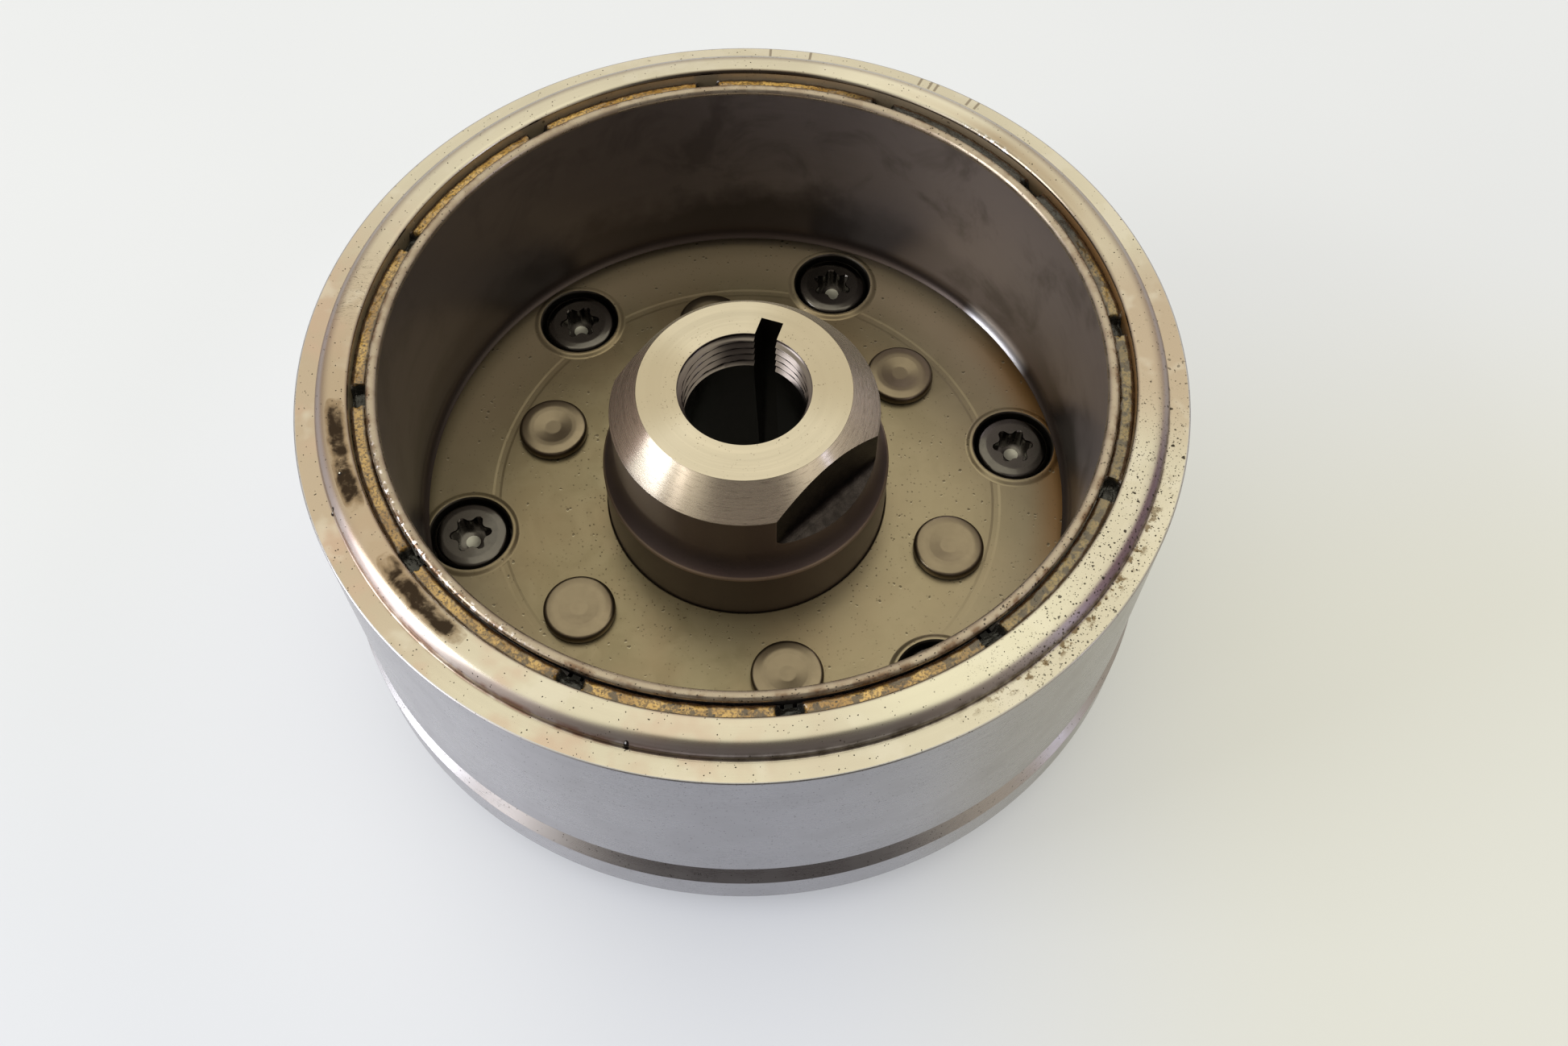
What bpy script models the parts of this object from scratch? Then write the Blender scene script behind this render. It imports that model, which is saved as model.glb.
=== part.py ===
"""Alternator flywheel rotor with the one-way clutch of the starter on its back.

The rotor stands on the clutch, open cup up. +Z is the crankshaft axis and the origin is at the
bottom centre. Dimensions below are in millimetres and degrees; mm() turns them into metres.
"""

import itertools
import math

import bmesh
import bpy

# ---- driving dimensions, heights above the clutch's back face ----
GAP = 0.3  # clearance between two pieces that touch on the real rotor
PAST = 1.0  # how far a cutter runs past the face that it cuts
SHARP_ANGLE = 28.0  # edges turned by more than this stay sharp
RING_STEPS = 48  # facets round the large turned pieces
HUB_STEPS = 40
SMALL_STEPS = 16  # facets round fasteners and their holes

WALL_R, WALL_FOOT = 62.5, 24.0
FOOT_R, FOOT_TOP = 63.1, 19.5  # slightly larger band at the foot of the wall
GROOVE_R, GROOVE_TOP, GROOVE_FOOT = 61.3, 23.6, 21.3  # turned groove between wall and foot
CUP_BACK, FLOOR_TOP, FLANGE_TOP, COLLAR_TOP = 13.0, 23.0, 57.2, 59.75
COLLAR_R, COLLAR_ROUND = 59.4, 2.0
CUP_BORE_R = 54.7  # inner face of the steel wall, behind the magnets
CORNER_ROUND = 1.5
CUP_EDGE = 0.4  # bevel on the cup's sharp edges
FLOOR_GROOVE_R, FLOOR_GROOVE_WIDTH, FLOOR_GROOVE_DEPTH = 39.8, 1.2, 0.25
FLOOR_GROOVE_SIDE = 0.3
RACE_REGISTER_R, RACE_REGISTER_DEPTH = 50.3, 1.0

HUB_TOP_Z, HUB_TOP_R = 51.1, 15.7
HUB_R, HUB_CONE_Z = 20.0, 46.0
HUB_BASE_R = 22.0
HUB_COVE, HUB_COVE_TOP, HUB_COVE_SWEEP = 7.25, 38.2, 43.6  # concave flare from the hub out to its base
HUB_FLANGE_R, HUB_FLANGE_TOP = 38.6, 17.7
HUB_TAIL_R, HUB_TAIL_Z = 16.5, 10.5
THREAD_MAJOR_R, THREAD_MINOR_R, THREAD_PITCH, THREAD_TURNS = 10.0, 9.2, 1.5, 4
THREAD_LEAD = 0.8  # plain step above the first turn
THREAD_TOP = HUB_TOP_Z - THREAD_LEAD
TAPER_TOP_R, TAPER_FOOT_R = 9.0, 12.2
FLAT_DISTANCE, FLAT_AZIMUTH, FLAT_LEDGE_Z = 17.0, -47.0, 38.9
KEYWAY_WIDTH, KEYWAY_R, KEYWAY_AZIMUTH = 3.4, 12.8, 70.0

MAGNETS, MAGNET_GAP_AZIMUTH, MAGNET_GAP_ANGLE = 12, 5.0, 2.4
MAGNET_INNER_R, MAGNET_FOOT, MAGNET_TOP = 51.8, 26.9, 55.9
HOLDER_FOOT, HOLDER_R, RIB_ANGLE = 24.6, 53.9, 1.2
RESIN_INNER_R, RESIN_TOP, RESIN_DEPTH, HOLLOW_DEPTH = 52.7, 58.2, 2.0, 1.6
COVER_R, COVER_SHEET, COVER_FOOT = 50.8, 0.7, 25.5
LIP_R, LIP_TOP, LIP_HEIGHT, COVER_CURL = 52.4, 59.3, 1.2, 0.6

RIVET_CIRCLE_R, RIVET_AZIMUTH = 33.4, 159.2
RIVET_HEAD_R, RIVET_HEAD_HEIGHT, RIVET_R, RIVET_DISH_R = 5.5, 1.5, 2.9, 2.6
RIVET_EDGE, RIVET_DISH_RIM, RIVET_DISH_DEPTH = 0.35, 0.1, 0.5
RIVET_TAIL_R, RIVET_TAIL_HEIGHT = 4.5, 1.7

SCREW_CIRCLE_R, SCREW_AZIMUTH = 44.0, 129.2
COUNTERBORE_R, COUNTERBORE_DEPTH = 6.37, 4.4
RIM_R, RIM_HEIGHT = 7.44, 0.48  # raised rim round each counterbore
RIM_SLOPE = 0.3
HEAD_R, HEAD_TOP, HEAD_EDGE, SCREW_R = 5.95, 23.2, 0.8, 4.0
SOCKET_R, SOCKET_DEPTH = 3.3, 3.0  # six-lobe recess, 6.6 mm across its points
SOCKET_OFFSET = 2.0  # keeps the recess's corners off the head's facet edges
SOCKET_WAIST, SOCKET_POINTS = 0.74, 24  # waist as a share of the radius, points of its outline
SCREW_END, SCREW_END_EDGE = 2.0, 0.8
SOCKET_TURNS = (5.0, 28.0, 0.0, 12.0, 20.0, 3.7)  # how each screw happens to be turned

RACE_R, RACE_BORE_R, RACE_TOP, RACE_EDGE = 50.0, 34.9, 13.7, 0.8
SNAP_GROOVE_R, SNAP_FOOT, SNAP_TOP = 36.0, 1.6, 2.7
SNAP_RING_REACH, SNAP_RING_SIDE, SNAP_RING_OPENING = 1.3, 0.2, 24.0
SPRAGS, SPRAG_PIVOT_R, SPRAG_FOOT, SPRAG_TOP = 16, 30.7, 4.2, 12.2
CAM_R, CAM_SIDE, CAM_RISE, WAIST = 3.6, 0.5, 0.3, 1.9
NOTCH_FOOT, NOTCH_TOP, NOTCH_DEPTH_Y = 7.2, 9.2, 0.8
CAGE_INNER_R, CAGE_OUTER_R, CAGE_FLANGE_R = 29.9, 31.5, 34.4
CAGE_FOOT, CAGE_TOP, CAGE_RIM, WINDOW_ANGLE = 3.0, 13.4, 0.8, 10.4
SPRING_R, SPRING_WIRE_R = 33.0, 0.6


def mm(value):
    """Millimetres to metres."""
    return value * 0.001


def polar(radius, degrees):
    """Point in the XY plane, in millimetres."""
    return radius * math.cos(math.radians(degrees)), radius * math.sin(math.radians(degrees))


def arc(centre_r, centre_z, radius, start, end, steps):
    """Points of a round stretch of a profile, angles in degrees."""
    points = []
    for i in range(steps + 1):
        dr, dz = polar(radius, start + (end - start) * i / steps)
        points.append((centre_r + dr, centre_z + dz))
    return points


def material(name, colour, roughness, metallic):
    """Principled material."""
    made = bpy.data.materials.new(name)
    made.use_nodes = True
    shader = made.node_tree.nodes["Principled BSDF"]
    shader.inputs["Base Color"].default_value = (*colour, 1.0)
    shader.inputs["Roughness"].default_value = roughness
    shader.inputs["Metallic"].default_value = metallic
    return made


def mesh_object(name, bm, finish=None, location=(0.0, 0.0, 0.0), turn=0.0):
    """Wraps a bmesh in a named object, smooth where its facets are shallow."""
    bmesh.ops.recalc_face_normals(bm, faces=bm.faces)
    mesh = bpy.data.meshes.new(name)
    bm.to_mesh(mesh)
    bm.free()
    mesh.shade_smooth()
    mesh.set_sharp_from_angle(angle=math.radians(SHARP_ANGLE))
    return place(name, mesh, finish, location, turn)


def place(name, mesh, finish, location=(0.0, 0.0, 0.0), turn=0.0):
    """Object for a mesh, moved by location (mm) and turned about Z (degrees)."""
    obj = bpy.data.objects.new(name, mesh)
    obj.location = [mm(value) for value in location]
    obj.rotation_euler[2] = math.radians(turn)
    if finish and not mesh.materials:
        mesh.materials.append(finish)
    bpy.context.scene.collection.objects.link(obj)
    return obj


def turned(profile, steps, closed=True):
    """Revolves a profile of (radius, height) points about Z. An open profile starts and ends on the axis."""
    bm = bmesh.new()
    rings = []
    for radius, height in profile:
        if radius == 0.0:
            rings.append([bm.verts.new((0.0, 0.0, mm(height)))] * steps)
            continue
        ring = []
        for i in range(steps):
            x, y = polar(mm(radius), 360.0 * i / steps)
            ring.append(bm.verts.new((x, y, mm(height))))
        rings.append(ring)
    pairs = list(zip(rings, rings[1:] + rings[:1])) if closed else list(zip(rings, rings[1:]))
    for low, high in pairs:
        for i in range(steps):
            j = (i + 1) % steps
            corners = []
            for vertex in (low[i], low[j], high[j], high[i]):
                if vertex not in corners:
                    corners.append(vertex)
            bm.faces.new(corners)
    return bm


def extruded(outline, foot, top):
    """Upright prism from an outline of (x, y) points."""
    bm = bmesh.new()
    low = [bm.verts.new((mm(x), mm(y), mm(foot))) for x, y in outline]
    high = [bm.verts.new((mm(x), mm(y), mm(top))) for x, y in outline]
    bm.faces.new(low)
    bm.faces.new(high)
    for i in range(len(outline)):
        j = (i + 1) % len(outline)
        bm.faces.new((low[i], low[j], high[j], high[i]))
    return bm


def polar_cells(radii, angles, heights, keep=None, full_circle=True):
    """Skin round those cells of a polar grid for which keep(r, a, z) is true, or round them all."""
    bm = bmesh.new()
    corners = {}
    nr, na, nz = len(radii) - 1, len(angles) - (not full_circle), len(heights) - 1

    def corner(r, a, z):
        key = (r, a % len(angles) if full_circle else a, z)
        if key not in corners:
            x, y = polar(mm(radii[r]), angles[key[1]])
            corners[key] = bm.verts.new((x, y, mm(heights[z])))
        return corners[key]

    def solid(r, a, z):
        inside = 0 <= r < nr and 0 <= z < nz and (full_circle or 0 <= a < na)
        return inside and (keep is None or keep(r, a % na, z))

    square = ((0, 0), (1, 0), (1, 1), (0, 1))
    for cell in itertools.product(range(nr), range(na), range(nz)):
        if not solid(*cell):
            continue
        for axis, side in itertools.product(range(3), (0, 1)):
            neighbour = list(cell)
            neighbour[axis] += 2 * side - 1
            if solid(*neighbour):
                continue
            face = []
            for first, second in square:
                offset = [first, second]
                offset.insert(axis, side)
                face.append(corner(*(c + o for c, o in zip(cell, offset))))
            bm.faces.new(face)
    return bm


def boolean(target, cutter, operation="DIFFERENCE"):
    """Cuts or joins a hidden helper and deletes it again."""
    cutter.hide_render = True
    cutter.display_type = "WIRE"
    modifier = target.modifiers.new(cutter.name, "BOOLEAN")
    modifier.operation = operation
    modifier.object = cutter
    bpy.context.view_layer.update()
    graph = bpy.context.evaluated_depsgraph_get()
    old, new = target.data, bpy.data.meshes.new_from_object(target.evaluated_get(graph))
    target.modifiers.clear()
    target.data = new
    new.name = target.name
    bpy.data.meshes.remove(old)
    spent = cutter.data
    bpy.data.objects.remove(cutter)
    bpy.data.meshes.remove(spent)


def around(count, radius, azimuth):
    """Places of a bolt circle, clockwise seen from above."""
    return [polar(radius, azimuth - 360.0 * k / count) for k in range(count)]


def at_each(target, places, profile, operation="DIFFERENCE"):
    """Cuts, or adds, the same turned shape at each place."""
    for x, y in places:
        shape = turned(profile, SMALL_STEPS, closed=False)
        boolean(target, mesh_object("turned_shape", shape, location=(x, y, 0.0)), operation)


def pin_profile(radius, foot, top):
    """Plain cylinder for at_each(), from the foot of its axis up."""
    return [(0.0, foot), (radius, foot), (radius, top), (0.0, top)]


def rotor_cup(finish):
    """Steel cup: back plate, wall, flange and collar, with the holes for screws and rivets."""
    groove_in = FLOOR_GROOVE_R - FLOOR_GROOVE_WIDTH / 2
    groove_out = FLOOR_GROOVE_R + FLOOR_GROOVE_WIDTH / 2
    groove_z = FLOOR_TOP - FLOOR_GROOVE_DEPTH
    hub_hole = HUB_BASE_R + GAP
    recess_r, recess_top = HUB_FLANGE_R + GAP, HUB_FLANGE_TOP + GAP
    edge = CUP_EDGE
    profile = [
        (hub_hole, recess_top),
        (hub_hole, FLOOR_TOP),
        (groove_in, FLOOR_TOP),
        (groove_in + FLOOR_GROOVE_SIDE, groove_z),
        (groove_out - FLOOR_GROOVE_SIDE, groove_z),
        (groove_out, FLOOR_TOP),
        *arc(CUP_BORE_R - CORNER_ROUND, FLOOR_TOP + CORNER_ROUND, CORNER_ROUND, -90.0, 0.0, 2),
        (CUP_BORE_R, COLLAR_TOP - edge),
        (CUP_BORE_R + edge, COLLAR_TOP),
        *arc(COLLAR_R - COLLAR_ROUND, COLLAR_TOP - COLLAR_ROUND, COLLAR_ROUND, 90.0, 0.0, 3),
        (COLLAR_R, FLANGE_TOP),
        (WALL_R - edge, FLANGE_TOP),
        (WALL_R, FLANGE_TOP - edge),
        (WALL_R, WALL_FOOT),
        (GROOVE_R, GROOVE_TOP),
        (GROOVE_R, GROOVE_FOOT),
        (FOOT_R, FOOT_TOP),
        (FOOT_R, CUP_BACK + edge),
        (FOOT_R - edge, CUP_BACK),
        (RACE_REGISTER_R, CUP_BACK),
        (RACE_REGISTER_R, CUP_BACK + RACE_REGISTER_DEPTH),
        (recess_r, CUP_BACK + RACE_REGISTER_DEPTH),
        (recess_r, recess_top),
    ]
    cup = mesh_object("rotor_cup", turned(profile, RING_STEPS), finish)
    screws = around(6, SCREW_CIRCLE_R, SCREW_AZIMUTH)
    rim = [
        (0.0, FLOOR_TOP - PAST),
        (RIM_R, FLOOR_TOP - PAST),
        (RIM_R, FLOOR_TOP),
        (COUNTERBORE_R + RIM_SLOPE, FLOOR_TOP + RIM_HEIGHT),
        (0.0, FLOOR_TOP + RIM_HEIGHT),
    ]
    at_each(cup, screws, rim, "UNION")
    seat = FLOOR_TOP - COUNTERBORE_DEPTH
    pocket = [
        (0.0, CUP_BACK - PAST),
        (SCREW_R + GAP, CUP_BACK - PAST),
        (SCREW_R + GAP, seat),
        (COUNTERBORE_R, seat),
        (COUNTERBORE_R, FLOOR_TOP + PAST),
        (0.0, FLOOR_TOP + PAST),
    ]
    at_each(cup, screws, pocket)
    rivet_hole = pin_profile(RIVET_R + GAP, CUP_BACK, FLOOR_TOP + PAST)
    at_each(cup, around(6, RIVET_CIRCLE_R, RIVET_AZIMUTH), rivet_hole)


def hub_boss(finish):
    """Hub with its riveted flange, cone, spanner flats, puller thread, taper bore and keyway."""
    flange_back = CUP_BACK + RACE_REGISTER_DEPTH
    profile = [
        (HUB_TAIL_R, HUB_TAIL_Z),
        (HUB_TAIL_R, flange_back),
        (HUB_FLANGE_R, flange_back),
        (HUB_FLANGE_R, HUB_FLANGE_TOP),
        (HUB_BASE_R, HUB_FLANGE_TOP),
        *arc(HUB_R + HUB_COVE, HUB_COVE_TOP, HUB_COVE, 180.0 + HUB_COVE_SWEEP, 180.0, 4),
        (HUB_R, HUB_CONE_Z),
        (HUB_TOP_R, HUB_TOP_Z),
        (THREAD_MAJOR_R, HUB_TOP_Z),
    ]
    for turn in range(THREAD_TURNS):
        crest = THREAD_TOP - turn * THREAD_PITCH
        profile.append((THREAD_MINOR_R, crest))
        profile.append((THREAD_MAJOR_R, crest - THREAD_PITCH / 2))
    profile.append((TAPER_TOP_R, THREAD_TOP - THREAD_TURNS * THREAD_PITCH))
    profile.append((TAPER_FOOT_R, HUB_TAIL_Z))
    hub = mesh_object("hub_boss", turned(profile, HUB_STEPS), finish)
    reach = HUB_BASE_R + PAST
    for side in (0.0, 180.0):
        box = [(FLAT_DISTANCE, -reach), (reach, -reach), (reach, reach), (FLAT_DISTANCE, reach)]
        block = extruded(box, FLAT_LEDGE_Z, HUB_TOP_Z + PAST)
        boolean(hub, mesh_object("flat", block, turn=FLAT_AZIMUTH + side))
    half = KEYWAY_WIDTH / 2
    slot = [(0.0, -half), (KEYWAY_R, -half), (KEYWAY_R, half), (0.0, half)]
    block = extruded(slot, HUB_TAIL_Z - PAST, HUB_TOP_Z + PAST)
    boolean(hub, mesh_object("keyway", block, turn=KEYWAY_AZIMUTH))
    rivet_hole = [
        (0.0, flange_back - PAST),
        (RIVET_TAIL_R + GAP + PAST, flange_back - PAST),
        (RIVET_R + GAP, flange_back + RIVET_TAIL_HEIGHT + GAP),
        (RIVET_R + GAP, HUB_FLANGE_TOP + PAST),
        (0.0, HUB_FLANGE_TOP + PAST),
    ]
    at_each(hub, around(6, RIVET_CIRCLE_R, RIVET_AZIMUTH), rivet_hole)


def magnet_blocks(finish):
    """Magnet segments against the inside of the wall."""
    step = 360.0 / MAGNETS
    start = MAGNET_GAP_AZIMUTH + MAGNET_GAP_ANGLE / 2
    facets = 5
    angles = [start + (step - MAGNET_GAP_ANGLE) * i / facets for i in range(facets + 1)]
    radii = (MAGNET_INNER_R, CUP_BORE_R - GAP)
    block = polar_cells(radii, angles, (MAGNET_FOOT, MAGNET_TOP), full_circle=False)
    first = mesh_object("magnet_01", block, finish)
    for k in range(1, MAGNETS):
        place(f"magnet_{k + 1:02d}", first.data, finish, turn=k * step)


def gap_angles(width, between):
    """Grid angles: one cell of this width at each gap between magnets, the rest split evenly."""
    step = 360.0 / MAGNETS
    made = []
    for k in range(MAGNETS):
        middle = MAGNET_GAP_AZIMUTH + k * step
        made.append(middle - width / 2)
        made.extend(middle + width / 2 + (step - width) * i / between for i in range(between))
    return made


def magnet_holder(finish):
    """Ring under the magnets with a rib in each gap between them."""
    angles = gap_angles(RIB_ANGLE, 3)
    in_step = len(angles) // MAGNETS
    heights = (HOLDER_FOOT, MAGNET_FOOT - GAP, MAGNET_TOP)
    holder = polar_cells(
        (MAGNET_INNER_R, HOLDER_R), angles, heights, lambda r, a, z: z == 0 or a % in_step == 0
    )
    mesh_object("magnet_holder", holder, finish)


def magnet_resin(finish):
    """Potting ring over the magnets, hollow above each gap between them."""
    angles = gap_angles(MAGNET_GAP_ANGLE, 4)
    in_step = len(angles) // MAGNETS
    heights = (RESIN_TOP - RESIN_DEPTH, RESIN_TOP - HOLLOW_DEPTH, RESIN_TOP)
    radii = (RESIN_INNER_R, CUP_BORE_R - GAP)
    resin = polar_cells(radii, angles, heights, lambda r, a, z: z == 0 or a % in_step != 0)
    mesh_object("magnet_resin", resin, finish)


def magnet_cover(finish):
    """Thin inner sleeve, curled in at its foot and out over the resin at its lip."""
    outer = COVER_R + COVER_SHEET
    half = LIP_HEIGHT / 2
    curl_z = COVER_FOOT + 2 * COVER_CURL
    profile = [
        (COVER_R - COVER_CURL, COVER_FOOT),
        (COVER_R, COVER_FOOT - COVER_CURL / 2),
        (outer, curl_z),
        (outer, LIP_TOP - LIP_HEIGHT),
        (LIP_R - half, LIP_TOP - LIP_HEIGHT),
        (LIP_R, LIP_TOP - half),
        (LIP_R - half, LIP_TOP),
        *arc(COVER_R + half, LIP_TOP - half, half, 90.0, 180.0, 2),
        (COVER_R, curl_z),
    ]
    mesh_object("magnet_cover", turned(profile, RING_STEPS), finish)


def rivets(finish):
    """Rivets that hold the hub's flange under the cup's floor."""
    foot = FLOOR_TOP + GAP
    top = foot + RIVET_HEAD_HEIGHT
    tail = CUP_BACK + RACE_REGISTER_DEPTH + GAP
    profile = [
        (0.0, tail),
        (RIVET_TAIL_R, tail),
        (RIVET_R, tail + RIVET_TAIL_HEIGHT),
        (RIVET_R, foot),
        (RIVET_HEAD_R, foot),
        (RIVET_HEAD_R, top - RIVET_EDGE),
        (RIVET_HEAD_R - RIVET_EDGE, top),
        (RIVET_DISH_R, top - RIVET_DISH_RIM),
        (0.0, top - RIVET_DISH_DEPTH),
    ]
    places = around(6, RIVET_CIRCLE_R, RIVET_AZIMUTH)
    shape = turned(profile, SMALL_STEPS, closed=False)
    first = mesh_object("rivet_1", shape, finish, (*places[0], 0.0))
    for k in range(1, 6):
        place(f"rivet_{k + 1}", first.data, finish, (*places[k], 0.0))


def six_lobe():
    """Outline of a six-lobe recess: a circle that a wave of six pulls in between its points."""
    middle = SOCKET_R * (1 + SOCKET_WAIST) / 2
    swing = SOCKET_R * (1 - SOCKET_WAIST) / 2
    outline = []
    for i in range(SOCKET_POINTS):
        angle = 360.0 * i / SOCKET_POINTS
        outline.append(polar(middle + swing * math.cos(math.radians(6 * angle)), angle))
    return outline


def clutch_screws(finish):
    """Six-lobe screws that hold the clutch race to the cup."""
    seat = FLOOR_TOP - COUNTERBORE_DEPTH + GAP
    profile = [
        (0.0, SCREW_END),
        (SCREW_R - SCREW_END_EDGE, SCREW_END),
        (SCREW_R, SCREW_END + SCREW_END_EDGE),
        (SCREW_R, seat),
        (HEAD_R, seat),
        *arc(HEAD_R - HEAD_EDGE, HEAD_TOP - HEAD_EDGE, HEAD_EDGE, 0.0, 90.0, 2),
        (0.0, HEAD_TOP),
    ]
    places = around(6, SCREW_CIRCLE_R, SCREW_AZIMUTH)
    first = mesh_object("clutch_screw_1", turned(profile, SMALL_STEPS, closed=False), finish)
    recess = extruded(six_lobe(), HEAD_TOP - SOCKET_DEPTH, HEAD_TOP + PAST)
    boolean(first, mesh_object("socket", recess, turn=SOCKET_OFFSET))
    first.data.materials.clear()
    first.data.materials.append(finish)
    first.location = (mm(places[0][0]), mm(places[0][1]), 0.0)
    first.rotation_euler[2] = math.radians(SOCKET_TURNS[0])
    for k in range(1, 6):
        place(f"clutch_screw_{k + 1}", first.data, finish, (*places[k], 0.0), SOCKET_TURNS[k])


def clutch_outer_race(finish):
    """Hardened ring on the rotor's back, with a snap-ring groove in its bore."""
    edge = RACE_EDGE
    profile = [
        (RACE_R - edge, 0.0),
        (RACE_R, edge),
        (RACE_R, RACE_TOP),
        (RACE_BORE_R, RACE_TOP),
        (RACE_BORE_R, SNAP_TOP),
        (SNAP_GROOVE_R, SNAP_TOP),
        (SNAP_GROOVE_R, SNAP_FOOT),
        (RACE_BORE_R, SNAP_FOOT),
        (RACE_BORE_R, edge),
        (RACE_BORE_R + edge, 0.0),
    ]
    race = mesh_object("clutch_outer_race", turned(profile, RING_STEPS), finish)
    screw_hole = pin_profile(SCREW_R + GAP, -PAST, RACE_TOP + PAST)
    at_each(race, around(6, SCREW_CIRCLE_R, SCREW_AZIMUTH), screw_hole)


def retaining_ring(finish):
    """Open snap ring in the race's groove."""
    facets = 24
    span = 360.0 - SNAP_RING_OPENING
    angles = [SNAP_RING_OPENING / 2 + span * i / facets for i in range(facets + 1)]
    radii = (RACE_BORE_R - SNAP_RING_REACH, SNAP_GROOVE_R - GAP)
    heights = (SNAP_FOOT + SNAP_RING_SIDE, SNAP_TOP - SNAP_RING_SIDE)
    ring = polar_cells(radii, angles, heights, full_circle=False)
    mesh_object("clutch_retaining_ring", ring, finish)


def sprag_cage(finish):
    """Channel-shaped ring with a window for each sprag."""
    step = 360.0 / SPRAGS
    angles = []
    for k in range(SPRAGS):
        start = k * step - WINDOW_ANGLE / 2
        angles.extend((start, start + WINDOW_ANGLE, start + (WINDOW_ANGLE + step) / 2))
    cage = polar_cells(
        (CAGE_INNER_R, CAGE_OUTER_R, CAGE_FLANGE_R),
        angles,
        (CAGE_FOOT, CAGE_FOOT + CAGE_RIM, CAGE_TOP - CAGE_RIM, CAGE_TOP),
        lambda r, a, z: z != 1 or (r == 0 and a % 3 != 0),
    )
    mesh_object("sprag_cage", cage, finish)


def sprags(finish):
    """Each sprag's origin is its tilting axis. Its outline is the same turned half round about that axis."""
    half = [(WAIST, 0.0)] + arc(-CAM_SIDE, CAM_RISE, CAM_R, 45.0, 135.0, 4)
    outline = half + [(-x, -y) for x, y in half]
    first = mesh_object("sprag_01", extruded(outline, SPRAG_FOOT, SPRAG_TOP), finish)
    past = CAM_R + PAST
    notch = [(-past, NOTCH_DEPTH_Y), (past, NOTCH_DEPTH_Y), (past, past), (-past, past)]
    boolean(first, mesh_object("notch", extruded(notch, NOTCH_FOOT, NOTCH_TOP)))
    first.data.materials.clear()
    first.data.materials.append(finish)
    step = 360.0 / SPRAGS
    for k in range(SPRAGS):
        x, y = polar(SPRAG_PIVOT_R, k * step)
        if k == 0:
            first.location = (mm(x), mm(y), 0.0)
            first.rotation_euler[2] = math.radians(-90.0)
        else:
            place(f"sprag_{k + 1:02d}", first.data, finish, (x, y, 0.0), k * step - 90.0)


def garter_spring(finish):
    """Spring ring in the sprags' notches, as a six-sided wire."""
    middle = (NOTCH_FOOT + NOTCH_TOP) / 2
    wire = arc(SPRING_R, middle, SPRING_WIRE_R, 0.0, 300.0, 5)
    mesh_object("garter_spring", turned(wire, RING_STEPS), finish)


def main():
    for obj in list(bpy.data.objects):
        bpy.data.objects.remove(obj)
    turned_steel = material("turned_steel", (0.62, 0.60, 0.55), 0.32, 1.0)
    hub_steel = material("hub_steel", (0.56, 0.52, 0.45), 0.35, 1.0)
    cover_steel = material("cover_steel", (0.45, 0.42, 0.38), 0.30, 1.0)
    magnet_nickel = material("magnet_nickel", (0.35, 0.34, 0.33), 0.40, 1.0)
    holder_plastic = material("holder_plastic", (0.05, 0.05, 0.05), 0.60, 0.0)
    amber_resin = material("amber_resin", (0.42, 0.26, 0.06), 0.30, 0.0)
    rivet_steel = material("rivet_steel", (0.42, 0.36, 0.26), 0.40, 1.0)
    black_oxide = material("black_oxide", (0.06, 0.06, 0.06), 0.35, 1.0)
    race_steel = material("race_steel", (0.40, 0.39, 0.37), 0.30, 1.0)
    sprag_steel = material("sprag_steel", (0.55, 0.54, 0.52), 0.22, 1.0)
    spring_steel = material("spring_steel", (0.50, 0.48, 0.44), 0.30, 1.0)
    rotor_cup(turned_steel)
    hub_boss(hub_steel)
    magnet_blocks(magnet_nickel)
    magnet_holder(holder_plastic)
    magnet_resin(amber_resin)
    magnet_cover(cover_steel)
    rivets(rivet_steel)
    clutch_screws(black_oxide)
    clutch_outer_race(race_steel)
    retaining_ring(spring_steel)
    sprag_cage(race_steel)
    sprags(sprag_steel)
    garter_spring(spring_steel)


main()
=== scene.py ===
"""Looks of the alternator flywheel rotor: fine meshes and worn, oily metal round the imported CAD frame.

Lengths are in millimetres unless stated; mm() turns them into metres.
"""

import math

import bmesh
import bpy
from mathutils import Matrix, Vector
from mathutils import noise as value_noise


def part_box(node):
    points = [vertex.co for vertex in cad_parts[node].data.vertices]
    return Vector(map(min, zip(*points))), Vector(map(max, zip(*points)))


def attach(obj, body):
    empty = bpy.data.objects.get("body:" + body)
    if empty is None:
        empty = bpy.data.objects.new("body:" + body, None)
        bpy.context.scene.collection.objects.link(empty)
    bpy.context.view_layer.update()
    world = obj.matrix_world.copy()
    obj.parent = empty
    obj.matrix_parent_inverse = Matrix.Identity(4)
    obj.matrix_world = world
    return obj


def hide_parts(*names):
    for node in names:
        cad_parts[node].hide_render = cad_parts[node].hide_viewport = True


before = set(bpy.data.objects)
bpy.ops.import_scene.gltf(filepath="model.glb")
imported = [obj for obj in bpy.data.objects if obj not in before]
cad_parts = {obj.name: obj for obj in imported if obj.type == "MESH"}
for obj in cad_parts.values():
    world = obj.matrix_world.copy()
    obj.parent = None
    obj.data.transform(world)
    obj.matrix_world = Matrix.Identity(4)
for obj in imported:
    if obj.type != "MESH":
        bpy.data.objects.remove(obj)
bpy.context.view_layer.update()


def mm(value):
    """Millimetres to metres."""
    return value * 0.001


def node_mm(name):
    """Lowest and highest corner of a CAD node in millimetres."""
    low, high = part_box(name)
    return low * 1000.0, high * 1000.0


def middle_mm(name):
    """Middle of a CAD node seen from above, in millimetres."""
    low, high = node_mm(name)
    return (low.x + high.x) / 2, (low.y + high.y) / 2


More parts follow.
